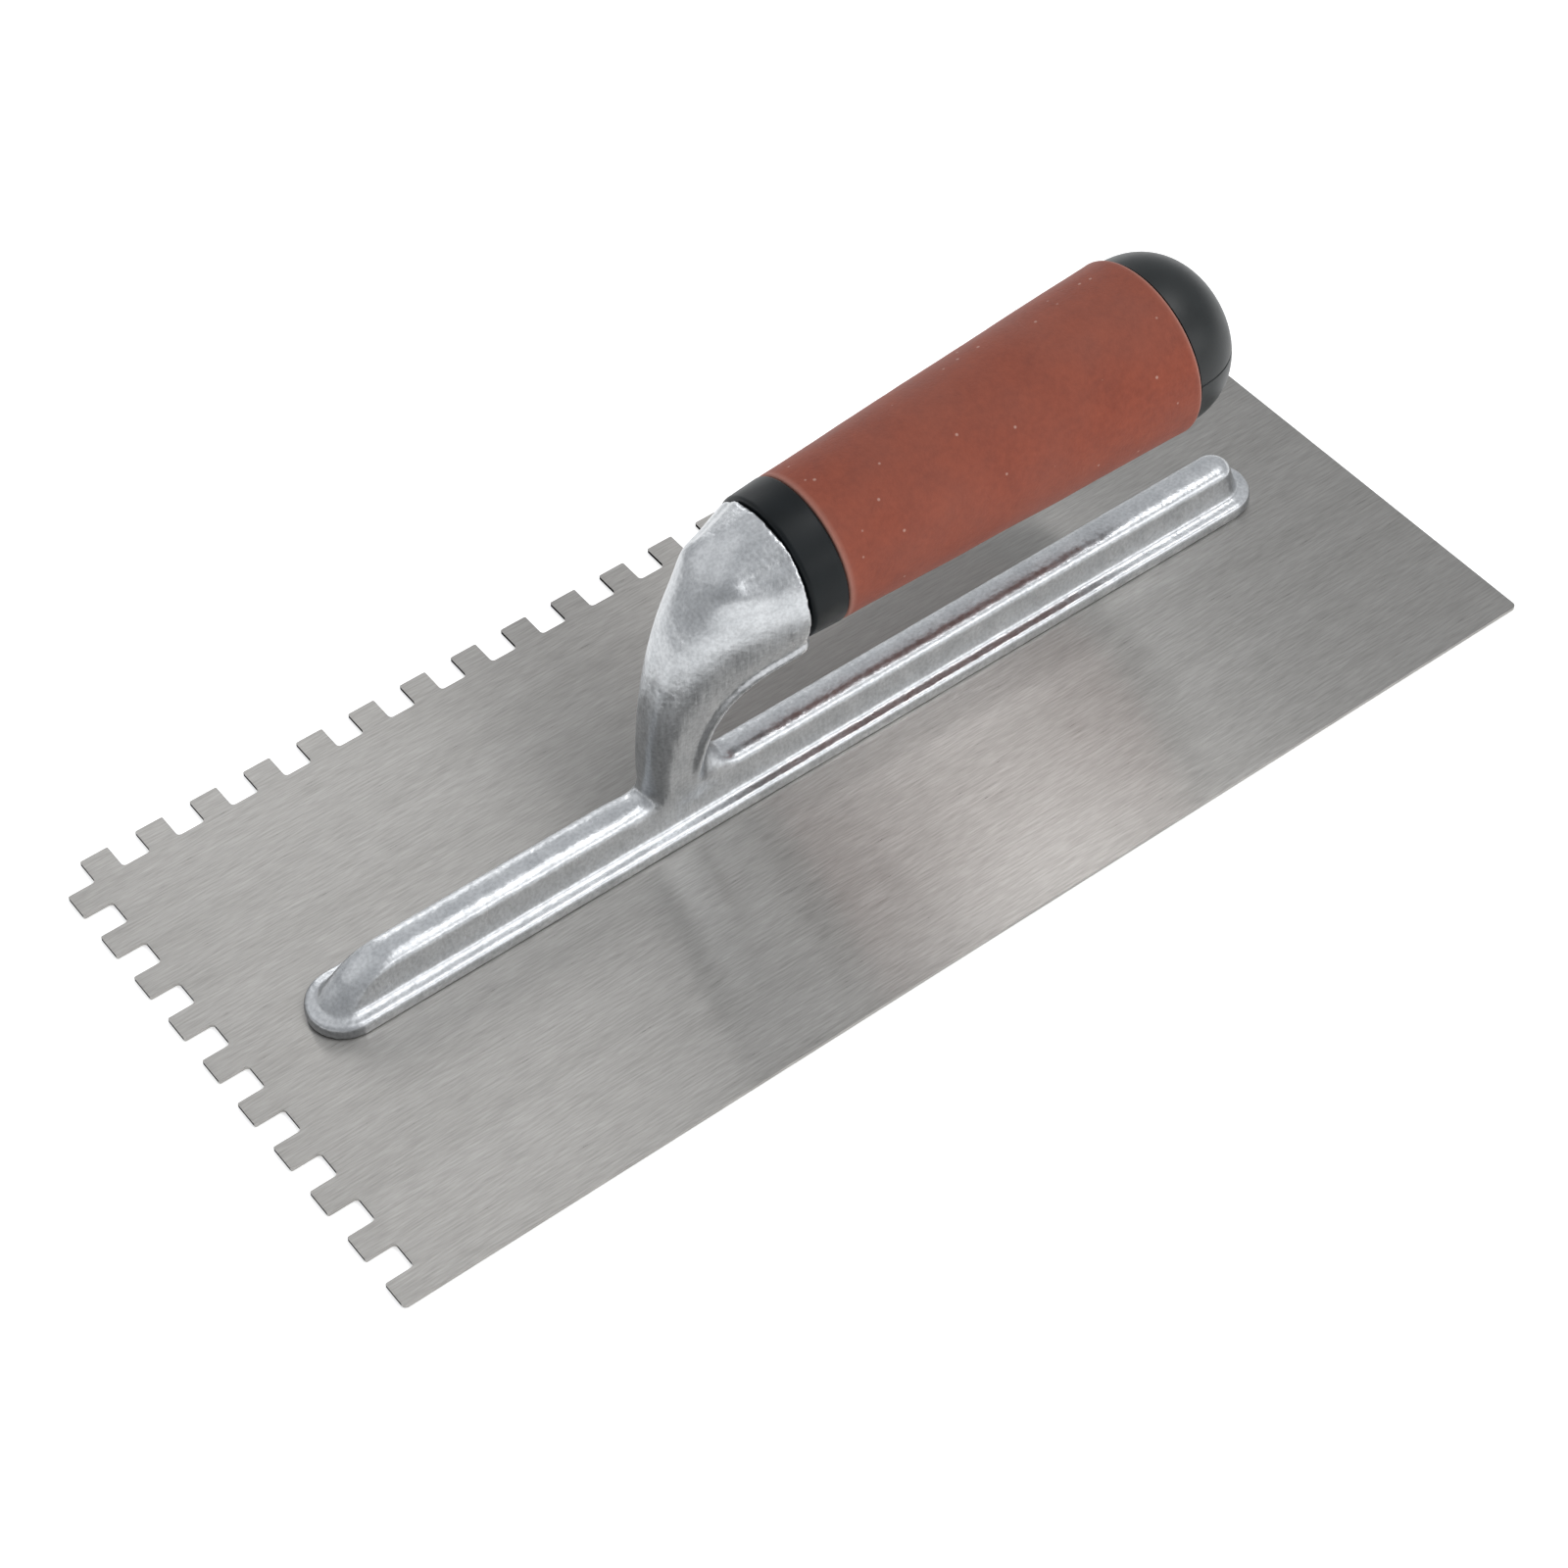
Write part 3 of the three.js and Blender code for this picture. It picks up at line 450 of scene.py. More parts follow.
for centre_width, centre_height, radius, first, last in (
    (FLANGE_HALF_WIDTH - FLANGE_DRAFT - CAST_ROUND, FLANGE_THICKNESS - CAST_ROUND, CAST_ROUND, 0, 90),
    (SPINE_ROOT_HALF_WIDTH + ROOT_ROUND, FLANGE_THICKNESS + ROOT_ROUND, ROOT_ROUND, 270, 180),
):
    for degrees in np.linspace(first, last, ROUND_STEPS):
        angle = math.radians(degrees)
        profile.append((centre_width + radius * math.cos(angle), centre_height + radius * math.sin(angle)))
# The crown of the spine is arched, flatter than a half round
for degrees in np.linspace(0, CROWN_END, CROWN_STEPS):
    angle = math.radians(degrees)
    half_width = SPINE_TOP_HALF_WIDTH * math.cos(angle) ** (2 / CROWN_SQUARENESS)
    climb = CROWN_RISE * math.sin(angle) ** (2 / CROWN_SQUARENESS)
    profile.append((half_width, SPINE_HEIGHT - CROWN_RISE + climb))
cast = bmesh.new()
bar_rings = []
for half_width, height in profile:
    inset = FLANGE_HALF_WIDTH - half_width
    above = max(0, height - FLANGE_THICKNESS)
    heel = bar_end - inset - half_width - HEEL_RAKE * above
    bow = NOSE_LENGTH * (above / (SPINE_HEIGHT - FLANGE_THICKNESS)) ** NOSE_BOW
    nose = -bar_end + inset + half_width + bow
    ring = []
    for centre, first in ((heel, -90), (nose, 90)):
        for degrees in np.linspace(first, first + 180, BAR_END_STEPS):
            angle = math.radians(degrees)
            lengthwise, crosswise = half_width * math.cos(angle), half_width * math.sin(angle)
            ring.append((centre + lengthwise, crosswise, BLADE_TOP + height))
    bar_rings.append(ring)
skin(cast, bar_rings)

# The shank: front and rear edges in the plane of the handle, with oval sections between them
COLLAR_GAP = 0.3 * MM
SHANK_SUNK = 3.3 * MM
SHANK_FRONT_X = -40.5 * MM
SHANK_REAR_X = -27.1 * MM
SHANK_HALF_WIDTH = 4.55 * MM
BROW_DROP = 1.7 * MM
BROW_BEND = 2.7 * MM
THROAT_BEND = Vector((3.6 * MM, 0, -7.9 * MM))
FOOT_SQUARENESS = 2.6
FACE_SQUARENESS = 2
FLARE_POWER = 0.88
SHANK_STEPS = 60
SHANK_SIDES = 72
face_start = reach_along_axis("collar")[0] - COLLAR_GAP
face_top = on_axis(face_start, FACE_RADIUS, math.pi / 2)
face_throat = on_axis(face_start, FACE_RADIUS, -math.pi / 2)
shank_foot = BLADE_TOP + SPINE_HEIGHT - SHANK_SUNK
front_edge = curve((
    (SHANK_FRONT_X, 0, shank_foot),
    (SHANK_FRONT_X, 0, face_top.z - BROW_DROP),
    face_top - Vector((BROW_BEND, 0, BROW_BEND)),
    face_top), SHANK_STEPS)
rear_edge = curve((
    (SHANK_REAR_X, 0, shank_foot),
    (SHANK_REAR_X, 0, face_throat.z),
    face_throat + THROAT_BEND,
    face_throat), SHANK_STEPS)
shank_rings = []
for i, (front, rear) in enumerate(zip(front_edge, rear_edge)):
    t = i / (SHANK_STEPS - 1)
    flare = t**FLARE_POWER
    flare = flare * flare * (3 - 2 * flare)
    half_width = SHANK_HALF_WIDTH + (FACE_RADIUS - SHANK_HALF_WIDTH) * flare
    power = 2 / (FOOT_SQUARENESS + (FACE_SQUARENESS - FOOT_SQUARENESS) * t)
    middle, reach = (front + rear) / 2, (front - rear) / 2
    ring = []
    for angle in np.linspace(0, 2 * math.pi, SHANK_SIDES, endpoint=False):
        lengthwise = math.copysign(abs(math.cos(angle)) ** power, math.cos(angle))
        crosswise = math.copysign(abs(math.sin(angle)) ** power, math.sin(angle))
        ring.append(middle + reach * lengthwise - side * half_width * crosswise)
    shank_rings.append(ring)
skin(cast, shank_rings)

# The die's parting ridge down the shank's rear edge, which spreads into a small web where it meets the spine
RIDGE_HALF_WIDTH = 1.1 * MM
RIDGE_PROUD = 0.8 * MM
RIDGE_SUNK = -2 * MM
RIDGE_ROOT_SPREAD = 1.4
WEB_HEIGHT = 9 * MM
WEB_LENGTH = 6 * MM
WEB_HALF_WIDTH = SPINE_TOP_HALF_WIDTH - 0.5 * MM
ridge_rings = []
for before, here, after in zip(rear_edge, rear_edge[1:], rear_edge[2:]):
    forward = (after - before).normalized()
    outward = side.cross(forward)
    spread = max(0, 1 - max(0, here.z - BLADE_TOP - SPINE_HEIGHT) / WEB_HEIGHT) ** 2
    crest = RIDGE_PROUD + WEB_LENGTH * spread
    wide = RIDGE_HALF_WIDTH + (WEB_HALF_WIDTH - RIDGE_HALF_WIDTH) * spread
    corners = ((RIDGE_SUNK, -RIDGE_ROOT_SPREAD), (crest, -1), (crest, 1), (RIDGE_SUNK, RIDGE_ROOT_SPREAD))
    ridge_rings.append([here + outward * out + side * wide * across for out, across in corners])
skin(cast, ridge_rings)

# A bead along each side of the shank's rear edge, which thins to nothing over its last steps to the handle.
# It follows one point of the shank's rings on each side.
BEAD_RADIUS = 1.3 * MM
BEAD_SIDES = 10
BEAD_PATHS = (24, 48)
BEAD_FADE_STEPS = 10
turnings = np.linspace(0, 2 * math.pi, BEAD_SIDES, endpoint=False)
for corner in BEAD_PATHS:
    path = [ring[corner] for ring in shank_rings]
    bead_rings = []
    for i, (before, here, after) in enumerate(zip(path, path[1:], path[2:])):
        forward = (after - before).normalized()
        flat = forward.cross(side).normalized()
        lift = forward.cross(flat)
        radius = BEAD_RADIUS * min(1, (SHANK_STEPS - 2 - i) / BEAD_FADE_STEPS)
        bead_rings.append([here + radius * (math.cos(a) * flat + math.sin(a) * lift) for a in turnings])
    skin(cast, bead_rings)

VOXEL = 0.5 * MM
casting = shape_object("mounting_casting", cast)
remesh = casting.modifiers.new("cast_in_one", "REMESH")
remesh.mode = "VOXEL"
remesh.voxel_size = VOXEL
apply_modifiers(casting)


def relax(points, edges, weights, rounds):
    """Moves each point towards the middle of its neighbours, by its weight, a number of times."""
    first, second = edges.T
    count = np.bincount(edges.ravel(), minlength=len(points))[:, None]
    for _ in range(rounds):
        total = np.zeros_like(points)
        for k in range(3):
            total[:, k] = np.bincount(first, points[second, k], len(points))
            total[:, k] += np.bincount(second, points[first, k], len(points))
        points += (total / count - points) * weights[:, None]
    return points


SKIN_PULL = 0.5
SKIN_ROUNDS = 6
FOOT_PULL = 0.55
FOOT_ROUNDS = 60
FOOT_REACH = 4.5 * MM
points = np.empty(len(casting.data.vertices) * 3)
casting.data.vertices.foreach_get("co", points)
points = points.reshape(-1, 3)
edges = np.empty(len(casting.data.edges) * 2, int)
casting.data.edges.foreach_get("vertices", edges)
edges = edges.reshape(-1, 2)
points = relax(points, edges, np.full(len(points), SKIN_PULL), SKIN_ROUNDS)
# The foot is filleted into the spine: points near where they meet are relaxed further
foot_middle = (SHANK_FRONT_X + SHANK_REAR_X) / 2
beyond = np.maximum(0, np.abs(points[:, 0] - foot_middle) - (SHANK_REAR_X - foot_middle))
away = np.hypot(beyond, points[:, 2] - BLADE_TOP - SPINE_HEIGHT)
points = relax(points, edges, FOOT_PULL * np.exp(-((away / FOOT_REACH) ** 2)), FOOT_ROUNDS)
points[:, 2] = np.maximum(points[:, 2], BLADE_TOP)

# On each side of the shank's crown, a low round boss, and a shallow crease that runs from it to the face
BOSS_CENTRE = np.array((-21.3, 6.6, 63.0)) * MM
BOSS_FACING = (-0.45, 0.6, 0.66)
BOSS_HEIGHT = 1.2 * MM
BOSS_RADIUS = 4.6 * MM
CREASE_END = np.array((-9.5, 9.9, 67.0)) * MM
CREASE_START_SHARE = 0.25
CREASE_DEPTH = 0.45 * MM
CREASE_WIDTH = 1.3 * MM
mirrored = np.column_stack((points[:, 0], np.abs(points[:, 1]), points[:, 2]))
crease = CREASE_END - BOSS_CENTRE
share = np.clip((mirrored - BOSS_CENTRE) @ crease / (crease @ crease), CREASE_START_SHARE, 1)
to_crease = np.linalg.norm(mirrored - BOSS_CENTRE - share[:, None] * crease, axis=1)
to_boss = np.linalg.norm(mirrored - BOSS_CENTRE, axis=1)
raised = BOSS_HEIGHT * np.exp(-((to_boss / BOSS_RADIUS) ** 2))
creased = CREASE_DEPTH * np.exp(-((to_crease / CREASE_WIDTH) ** 2))
outwards = np.tile(BOSS_FACING, (len(points), 1))
outwards[:, 1] *= np.sign(points[:, 1])
points += (raised - creased)[:, None] * outwards
casting.data.vertices.foreach_set("co", points.ravel())

# Blind holes for the rivets, and the bore in the face that takes the tang
TANG_CLEARANCE = 0.25 * MM
BORE_OVERRUN = 5 * MM
drill = bmesh.new()
bore = RIVET_SHANK_RADIUS + RIVET_CLEARANCE
depth = RIVET_LENGTH + RIVET_CLEARANCE
turnings = np.linspace(0, 2 * math.pi, HOLE_SIDES, endpoint=False)
for spot in rivet_places:
    skin(drill, [
        [(spot.x + bore * math.cos(a), bore * math.sin(a), level) for a in turnings]
        for level in (0, depth)])
tang_start, _, tang_radius = reach_along_axis("tang_rod")
skin(drill, [
    [on_axis(distance, tang_radius + TANG_CLEARANCE, angle) for angle in turnings]
    for distance in (tang_start - TANG_CLEARANCE, face_start + BORE_OVERRUN)])
drills = shape_object("drills", drill)
bored = casting.modifiers.new("bores", "BOOLEAN")
bored.solver = "MANIFOLD"
bored.object = drills
apply_modifiers(casting)
bpy.data.objects.remove(drills)
shade(casting, 75)

# Tumbled cast aluminium: a bright metal with a soft uneven skin, dips a few millimetres across from the die,
# a fine pebble from tumbling, and drawn streaks where it was dressed with a file.
cast_aluminium, tree = new_finish("tumbled_cast_aluminium")
place = add(tree, "ShaderNodeTexCoord").outputs["Object"]
swell = add(tree, "ShaderNodeTexNoise", {"Vector": place, "Scale": 1 / (5 * MM), "Detail": 2.0})
pebble = add(tree, "ShaderNodeTexNoise", {"Vector": place, "Scale": 1 / (0.7 * MM), "Detail": 3.0})
drawn = add(tree, "ShaderNodeMapping", {"Vector": place, "Scale": per_metre(1.1, 1.1, 14)})
streaks = add(tree, "ShaderNodeTexNoise", {"Vector": drawn, "Scale": 1.0, "Detail": 2.0})
stain = add(tree, "ShaderNodeMix", {0: swell, 6: linear("#b4b7ba"), 7: linear("#dcdee0")}, data_type="RGBA")
marks = add(tree, "ShaderNodeMapRange", {
    "Value": pebble, "From Min": 0.35, "From Max": 0.62, "To Min": 0.82, "To Max": 1.0})
colour = add(tree, "ShaderNodeMix", {0: 1.0, 6: stain, 7: marks}, data_type="RGBA", blend_type="MULTIPLY")
rough = add(tree, "ShaderNodeMapRange", {"Value": streaks, "To Min": 0.21, "To Max": 0.44})
low = add(tree, "ShaderNodeBump", {"Height": swell, "Strength": 0.7, "Distance": 0.3 * MM})
mid = add(tree, "ShaderNodeBump", {"Height": streaks, "Strength": 0.6, "Distance": 0.12 * MM, "Normal": low})
fine = add(tree, "ShaderNodeBump", {"Height": pebble, "Strength": 0.4, "Distance": 0.07 * MM, "Normal": mid})
metal = add(tree, "ShaderNodeBsdfPrincipled", {
    "Base Color": colour, "Metallic": 1.0, "Roughness": rough, "Normal": fine})
add(tree, "ShaderNodeOutputMaterial", {"Surface": metal})
casting.data.materials.clear()
casting.data.materials.append(cast_aluminium)
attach(casting, "root")
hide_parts("mounting")

# ---- Tang and its fasteners ----
# A steel rod screwed into the casting's face carries the handle. A washer, a spring washer and a nut behind
# the core hold it, all zinc plated, out of sight under the cap.

# Zinc plated steel: a bluish bright grey with a faint cloudy bloom.
zinc_plate, tree = new_finish("zinc_plated_steel")
place = add(tree, "ShaderNodeTexCoord").outputs["Object"]
bloom = add(tree, "ShaderNodeTexNoise", {"Vector": place, "Scale": 1 / (2.5 * MM), "Detail": 4.0})
colour = add(tree, "ShaderNodeMix", {0: bloom, 6: linear("#a9afb6"), 7: linear("#d3d7dc")}, data_type="RGBA")
rough = add(tree, "ShaderNodeMapRange", {"Value": bloom, "To Min": 0.22, "To Max": 0.42})
height = add(tree, "ShaderNodeBump", {"Height": bloom, "Strength": 0.2, "Distance": 0.03 * MM})
metal = add(tree, "ShaderNodeBsdfPrincipled", {
    "Base Color": colour, "Metallic": 1.0, "Roughness": rough, "Normal": height})
add(tree, "ShaderNodeOutputMaterial", {"Surface": metal})
for name in ("tang_rod", "flat_washer", "spring_washer", "lock_nut"):
    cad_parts[name].material_slots[0].material = zinc_plate

# ---- Handle core ----
# A tapered sleeve of glass-filled nylon over the tang, which the rubber grip is moulded round.

# Glass-filled nylon: matt dark grey, with short pale fibres just under the skin.
filled_nylon, tree = new_finish("glass_filled_nylon")
place = add(tree, "ShaderNodeTexCoord").outputs["Object"]
lay = add(tree, "ShaderNodeMapping", {"Vector": place, "Scale": per_metre(2, 0.4, 0.4)})
fibres = add(tree, "ShaderNodeTexNoise", {"Vector": lay, "Scale": 1.0, "Detail": 2.0})
colour = add(tree, "ShaderNodeMix", {
    0: fibres, 6: linear("#2b2c2e"), 7: linear("#4c4e50")}, data_type="RGBA")
rough = add(tree, "ShaderNodeMapRange", {"Value": fibres, "To Min": 0.5, "To Max": 0.7})
height = add(tree, "ShaderNodeBump", {"Height": fibres, "Strength": 0.2, "Distance": 0.05 * MM})
plastic = add(tree, "ShaderNodeBsdfPrincipled", {"Base Color": colour, "Roughness": rough, "Normal": height})
add(tree, "ShaderNodeOutputMaterial", {"Surface": plastic})
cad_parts["handle_core"].material_slots[0].material = filled_nylon

# ---- Collar ----
# A moulded ring of black vinyl between the casting's face and the grip. It has soft rounded edges, and a cup
# inside that takes the core's end.


def turn(name, profile, sides):
    """A closed solid turned about the handle's axis from (distance, radius) points. Radius 0 is a pole."""
    bm = bmesh.new()
    rings = []
    for distance, radius in profile:
        if radius == 0:
            rings.append([bm.verts.new(on_axis(distance))] * sides)
        else:
            turnings = (2 * math.pi * k / sides for k in range(sides))
            rings.append([bm.verts.new(on_axis(distance, radius, angle)) for angle in turnings])
    if profile[0][1] > 0:
        rings.append(rings[0])
    for first, second in zip(rings, rings[1:]):
        for k in range(sides):
            after = (k + 1) % sides
            corners = dict.fromkeys((first[k], first[after], second[after], second[k]))
            bm.faces.new(list(corners))
    return shape_object(name, bm)


def arc(distance, radius, size, first, last, count=6):
    """Points of a rounded edge on a turned profile: its centre, its size and its two angles in degrees."""
    angles = (math.radians(a) for a in np.linspace(first, last, count))
    return [(distance + size * math.sin(a), radius + size * math.cos(a)) for a in angles]


collar_start, collar_end, collar_radius = reach_along_axis("collar")
COLLAR_FRONT_RADIUS = 15.5 * MM
COLLAR_WALL = 3 * MM
COLLAR_SIDES = 128
EDGE_ROUND = 0.9 * MM
CORE_CLEARANCE = 0.15 * MM
sleeve_bore = collar_radius - COLLAR_WALL + CORE_CLEARANCE
tang_bore = tang_radius + TANG_CLEARANCE
collar = turn("collar_ring", [
    (collar_start, tang_bore),
    *arc(collar_start + EDGE_ROUND, COLLAR_FRONT_RADIUS - EDGE_ROUND, EDGE_ROUND, -90, 0),
    *arc(collar_end - EDGE_ROUND / 2, collar_radius - EDGE_ROUND / 2, EDGE_ROUND / 2, 0, 90),
    (collar_end, sleeve_bore),
    (collar_start + COLLAR_WALL, sleeve_bore),
    (collar_start + COLLAR_WALL, tang_bore)], COLLAR_SIDES)
shade(collar, 40)

# Black vinyl, moulded against a lightly etched tool: blue-black, satin, with faint handling marks.
black_vinyl, tree = new_finish("satin_black_vinyl")
place = add(tree, "ShaderNodeTexCoord").outputs["Object"]
etch = add(tree, "ShaderNodeTexNoise", {"Vector": place, "Scale": 1 / (0.5 * MM), "Detail": 3.0})
rubs = add(tree, "ShaderNodeTexNoise", {"Vector": place, "Scale": 1 / (7 * MM), "Detail": 4.0})
colour = add(tree, "ShaderNodeMix", {0: rubs, 6: linear("#080c0e"), 7: linear("#151b1e")}, data_type="RGBA")
rough = add(tree, "ShaderNodeMapRange", {"Value": rubs, "To Min": 0.34, "To Max": 0.52})
height = add(tree, "ShaderNodeBump", {"Height": etch, "Strength": 0.25, "Distance": 0.05 * MM})
plastic = add(tree, "ShaderNodeBsdfPrincipled", {
    "Base Color": colour, "Roughness": rough, "Specular IOR Level": 0.2, "Normal": height})
add(tree, "ShaderNodeOutputMaterial", {"Surface": plastic})
collar.data.materials.append(black_vinyl)
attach(collar, "root")
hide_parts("collar")

# ---- Grip sleeve ----
# A thick sleeve of red-brown rubber moulded over the core. It swells from the collar to the cap, with a
# small rounded shoulder at each end, and its skin is a little uneven to the hand.

grip_start, grip_end, grip_radius = reach_along_axis("grip_sleeve")
grip_length = grip_end - grip_start
swell = grip_radius - collar_radius
SHOULDER = 1.2 * MM
CORE_END_RADIUS = 15.4 * MM
SWELL_SETS_IN = (0.3, 0.35)
SWELL_EASES_OFF = (0.8, 0.1)
SWELL_STEPS = 90
GRIP_SIDES = 144
# The swell is a curve between the shoulders. Two points guide it, each with its share of the length, and its
# share of the swell gained so far or still missing.
swell_curve = curve((
    (grip_start + SHOULDER / 2, collar_radius, 0),
    (grip_start + SWELL_SETS_IN[0] * grip_length, collar_radius + SWELL_SETS_IN[1] * swell, 0),
    (grip_start + SWELL_EASES_OFF[0] * grip_length, grip_radius - SWELL_EASES_OFF[1] * swell, 0),
    (grip_end - SHOULDER, grip_radius, 0)), SWELL_STEPS)
grip = turn("grip_rubber", [
    (grip_start, sleeve_bore),
    *arc(grip_start + SHOULDER / 2, collar_radius - SHOULDER / 2, SHOULDER / 2, -90, -10),
    *[(point.x, point.y) for point in swell_curve],
    *arc(grip_end - SHOULDER, grip_radius - SHOULDER, SHOULDER, 10, 90),
    (grip_end, CORE_END_RADIUS + CORE_CLEARANCE)], GRIP_SIDES)

# Broad and small dents sink the outer skin, and the rim at each end is marked for its paler colour,
# which is partly wear and partly a painted highlight on the rounded shoulder
OUTER_SKIN = 0.99 * collar_radius
DENT_DEPTH = 0.12 * MM
DENT_SIZE = 13 * MM
SMALL_DENT_SIZE = 4 * MM
SMALL_DENT_SHARE = 0.4
DENT_BIAS = 0.7
DENT_FADE = 5 * MM
RIM_WIDTH = 0.8 * MM
rim = grip.data.attributes.new("rim", "FLOAT", "POINT")
for vertex in grip.data.vertices:
    offset = vertex.co - tang_centre
    distance = offset.dot(axis)
    outward = offset - distance * axis
    from_end = min(distance - grip_start, grip_end - distance)
    rim.data[vertex.index].value = math.exp(-((from_end / RIM_WIDTH) ** 2))
    if outward.length > OUTER_SKIN and from_end > SHOULDER:
        small_dents = SMALL_DENT_SHARE * noise.noise(vertex.co / SMALL_DENT_SIZE)
        uneven = noise.noise(vertex.co / DENT_SIZE) + small_dents
        fade = min(1, from_end / DENT_FADE)
        vertex.co += outward.normalized() * DENT_DEPTH * fade * (uneven - DENT_BIAS)
shade(grip, 40)

# Red-brown rubber: matt, mottled and grainy from mixing, with a dusty bloom, fine pits and small pale specks
# of dust. The rim at each end is painted paler: partly wear, partly a painted highlight on the rounded
# shoulder.
red_rubber, tree = new_finish("moulded_red_rubber")
place = add(tree, "ShaderNodeTexCoord").outputs["Object"]
mottle = add(tree, "ShaderNodeTexNoise", {
    "Vector": place, "Scale": 1 / (6 * MM), "Detail": 5.0, "Roughness": 0.6})
dust = add(tree, "ShaderNodeTexNoise", {"Vector": place, "Scale": 1 / (28 * MM), "Detail": 2.0})
pits = add(tree, "ShaderNodeTexNoise", {"Vector": place, "Scale": 1 / (0.6 * MM), "Detail": 2.0})
specks = add(tree, "ShaderNodeTexVoronoi", {"Vector": place, "Scale": 1 / (4.5 * MM)})
grain = add(tree, "ShaderNodeTexNoise", {"Vector": place, "Scale": 1 / (1.3 * MM), "Detail": 2.0})
tone = add(tree, "ShaderNodeMix", {0: 0.4, 2: mottle, 3: grain})
base = add(tree, "ShaderNodeMix", {0: tone, 6: linear("#68291a"), 7: linear("#9e5039")}, data_type="RGBA")
bloomed = add(tree, "ShaderNodeMapRange", {
    "Value": dust, "From Min": 0.35, "From Max": 0.75, "To Min": 0.0, "To Max": 0.35})
hazy = add(tree, "ShaderNodeMix", {0: bloomed, 6: base, 7: linear("#8b574a")}, data_type="RGBA")
speck = add(tree, "ShaderNodeMapRange", {
    "Value": specks.outputs["Distance"], "From Min": 0.05, "From Max": 0.09, "To Min": 0.5, "To Max": 0.0})
dusted = add(tree, "ShaderNodeMix", {0: speck, 6: hazy, 7: linear("#c9a89c")}, data_type="RGBA")
near_rim = add(tree, "ShaderNodeAttribute", attribute_name="rim").outputs["Fac"]
# The paler rim colour is partly wear and partly a painted highlight along the rounded shoulder
rim_wear_and_highlight = add(tree, "ShaderNodeMath", {0: near_rim, 1: 0.55}, operation="MULTIPLY")
colour = add(tree, "ShaderNodeMix", {0: rim_wear_and_highlight, 6: dusted, 7: linear("#b4877a")}, data_type="RGBA")
rough = add(tree, "ShaderNodeMapRange", {"Value": mottle, "To Min": 0.6, "To Max": 0.85})
height = add(tree, "ShaderNodeBump", {"Height": pits, "Strength": 0.6, "Distance": 0.12 * MM})
rubber = add(tree, "ShaderNodeBsdfPrincipled", {
    "Base Color": colour, "Roughness": rough, "Specular IOR Level": 0.32, "Normal": height,
    "Sheen Weight": 0.1, "Sheen Roughness": 0.5})
add(tree, "ShaderNodeOutputMaterial", {"Surface": rubber})
grip.data.materials.append(red_rubber)
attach(grip, "root")
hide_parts("grip_sleeve")

# ---- End cap ----
# A domed plug of black plastic pressed into the end of the handle over the nut. The two halves of its mould
# met just above the middle, where a fine dark line is left.

cap_low, cap_end, cap_radius = reach_along_axis("end_cap")
CAP_LENGTH = 16.4 * MM
cap_start = cap_end - CAP_LENGTH
CAP_SHOULDER = 0.5 * MM
DOME_SQUARENESS = 2.33
DOME_STEPS = 44
DOME_SIDES = 128
PLUG_RADIUS = 10.3 * MM
PLUG_BORE = 8.5 * MM
dome = []
for degrees in np.linspace(0, 90, DOME_STEPS):
    bend = math.radians(degrees)
    radius = 0 if degrees == 90 else cap_radius * math.cos(bend) ** (2 / DOME_SQUARENESS)
    dome.append((cap_start + CAP_LENGTH * math.sin(bend) ** (2 / DOME_SQUARENESS), radius))
cap = turn("cap_dome", [
    (cap_start, 0), (cap_start, PLUG_BORE), (cap_low, PLUG_BORE), (cap_low, PLUG_RADIUS),
    (cap_start, PLUG_RADIUS), (cap_start, cap_radius - CAP_SHOULDER), *dome], DOME_SIDES)

# The mould line: the dome is cut at three heights, and the middle cut is pushed in
SEAM_HEIGHT = 2 * MM
SEAM_WIDTH = 0.5 * MM
SEAM_DEPTH = 0.35 * MM
SEAM_START = 0.2 * MM
SEAM_TOLERANCE = 0.01 * MM
CUT_TOLERANCE = 1e-7
bm = bmesh.new()
bm.from_mesh(cap.data)
for lift in (SEAM_HEIGHT - SEAM_WIDTH / 2, SEAM_HEIGHT, SEAM_HEIGHT + SEAM_WIDTH / 2):
    everything = [*bm.verts, *bm.edges, *bm.faces]
    spot = tang_centre + lift * up
    bmesh.ops.bisect_plane(bm, geom=everything, plane_co=spot, plane_no=up, dist=CUT_TOLERANCE)
for vertex in bm.verts:
    offset = vertex.co - tang_centre
    outside = offset.dot(axis) > cap_start + SEAM_START
    if outside and abs(offset.dot(up) - SEAM_HEIGHT) < SEAM_TOLERANCE:
        vertex.co -= vertex.normal * SEAM_DEPTH
bm.to_mesh(cap.data)
bm.free()
shade(cap, 40)

# Black plastic with a worn satin skin: charcoal where it is rubbed, and near black elsewhere.
black_cap, tree = new_finish("worn_black_plastic")
place = add(tree, "ShaderNodeTexCoord").outputs["Object"]
etch = add(tree, "ShaderNodeTexNoise", {"Vector": place, "Scale": 1 / (0.5 * MM), "Detail": 3.0})
rubs = add(tree, "ShaderNodeTexNoise", {
    "Vector": place, "Scale": 1 / (5 * MM), "Detail": 5.0, "Roughness": 0.6})
colour = add(tree, "ShaderNodeMix", {0: rubs, 6: linear("#0a0e0f"), 7: linear("#1f2425")}, data_type="RGBA")
rough = add(tree, "ShaderNodeMapRange", {"Value": rubs, "To Min": 0.32, "To Max": 0.5})
height = add(tree, "ShaderNodeBump", {"Height": etch, "Strength": 0.25, "Distance": 0.05 * MM})
plastic = add(tree, "ShaderNodeBsdfPrincipled", {
    "Base Color": colour, "Roughness": rough, "Specular IOR Level": 0.38, "Normal": height})
add(tree, "ShaderNodeOutputMaterial", {"Surface": plastic})
cap.data.materials.append(black_cap)
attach(cap, "root")
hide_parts("end_cap")

# ---- Floor, light and camera ----
# A plain white table top in a pale room, lit by five panels and seen through a product lens. The blade
# mirrors the three narrow panels in bright bands, and the two wide ones fill in the casting and the handle.

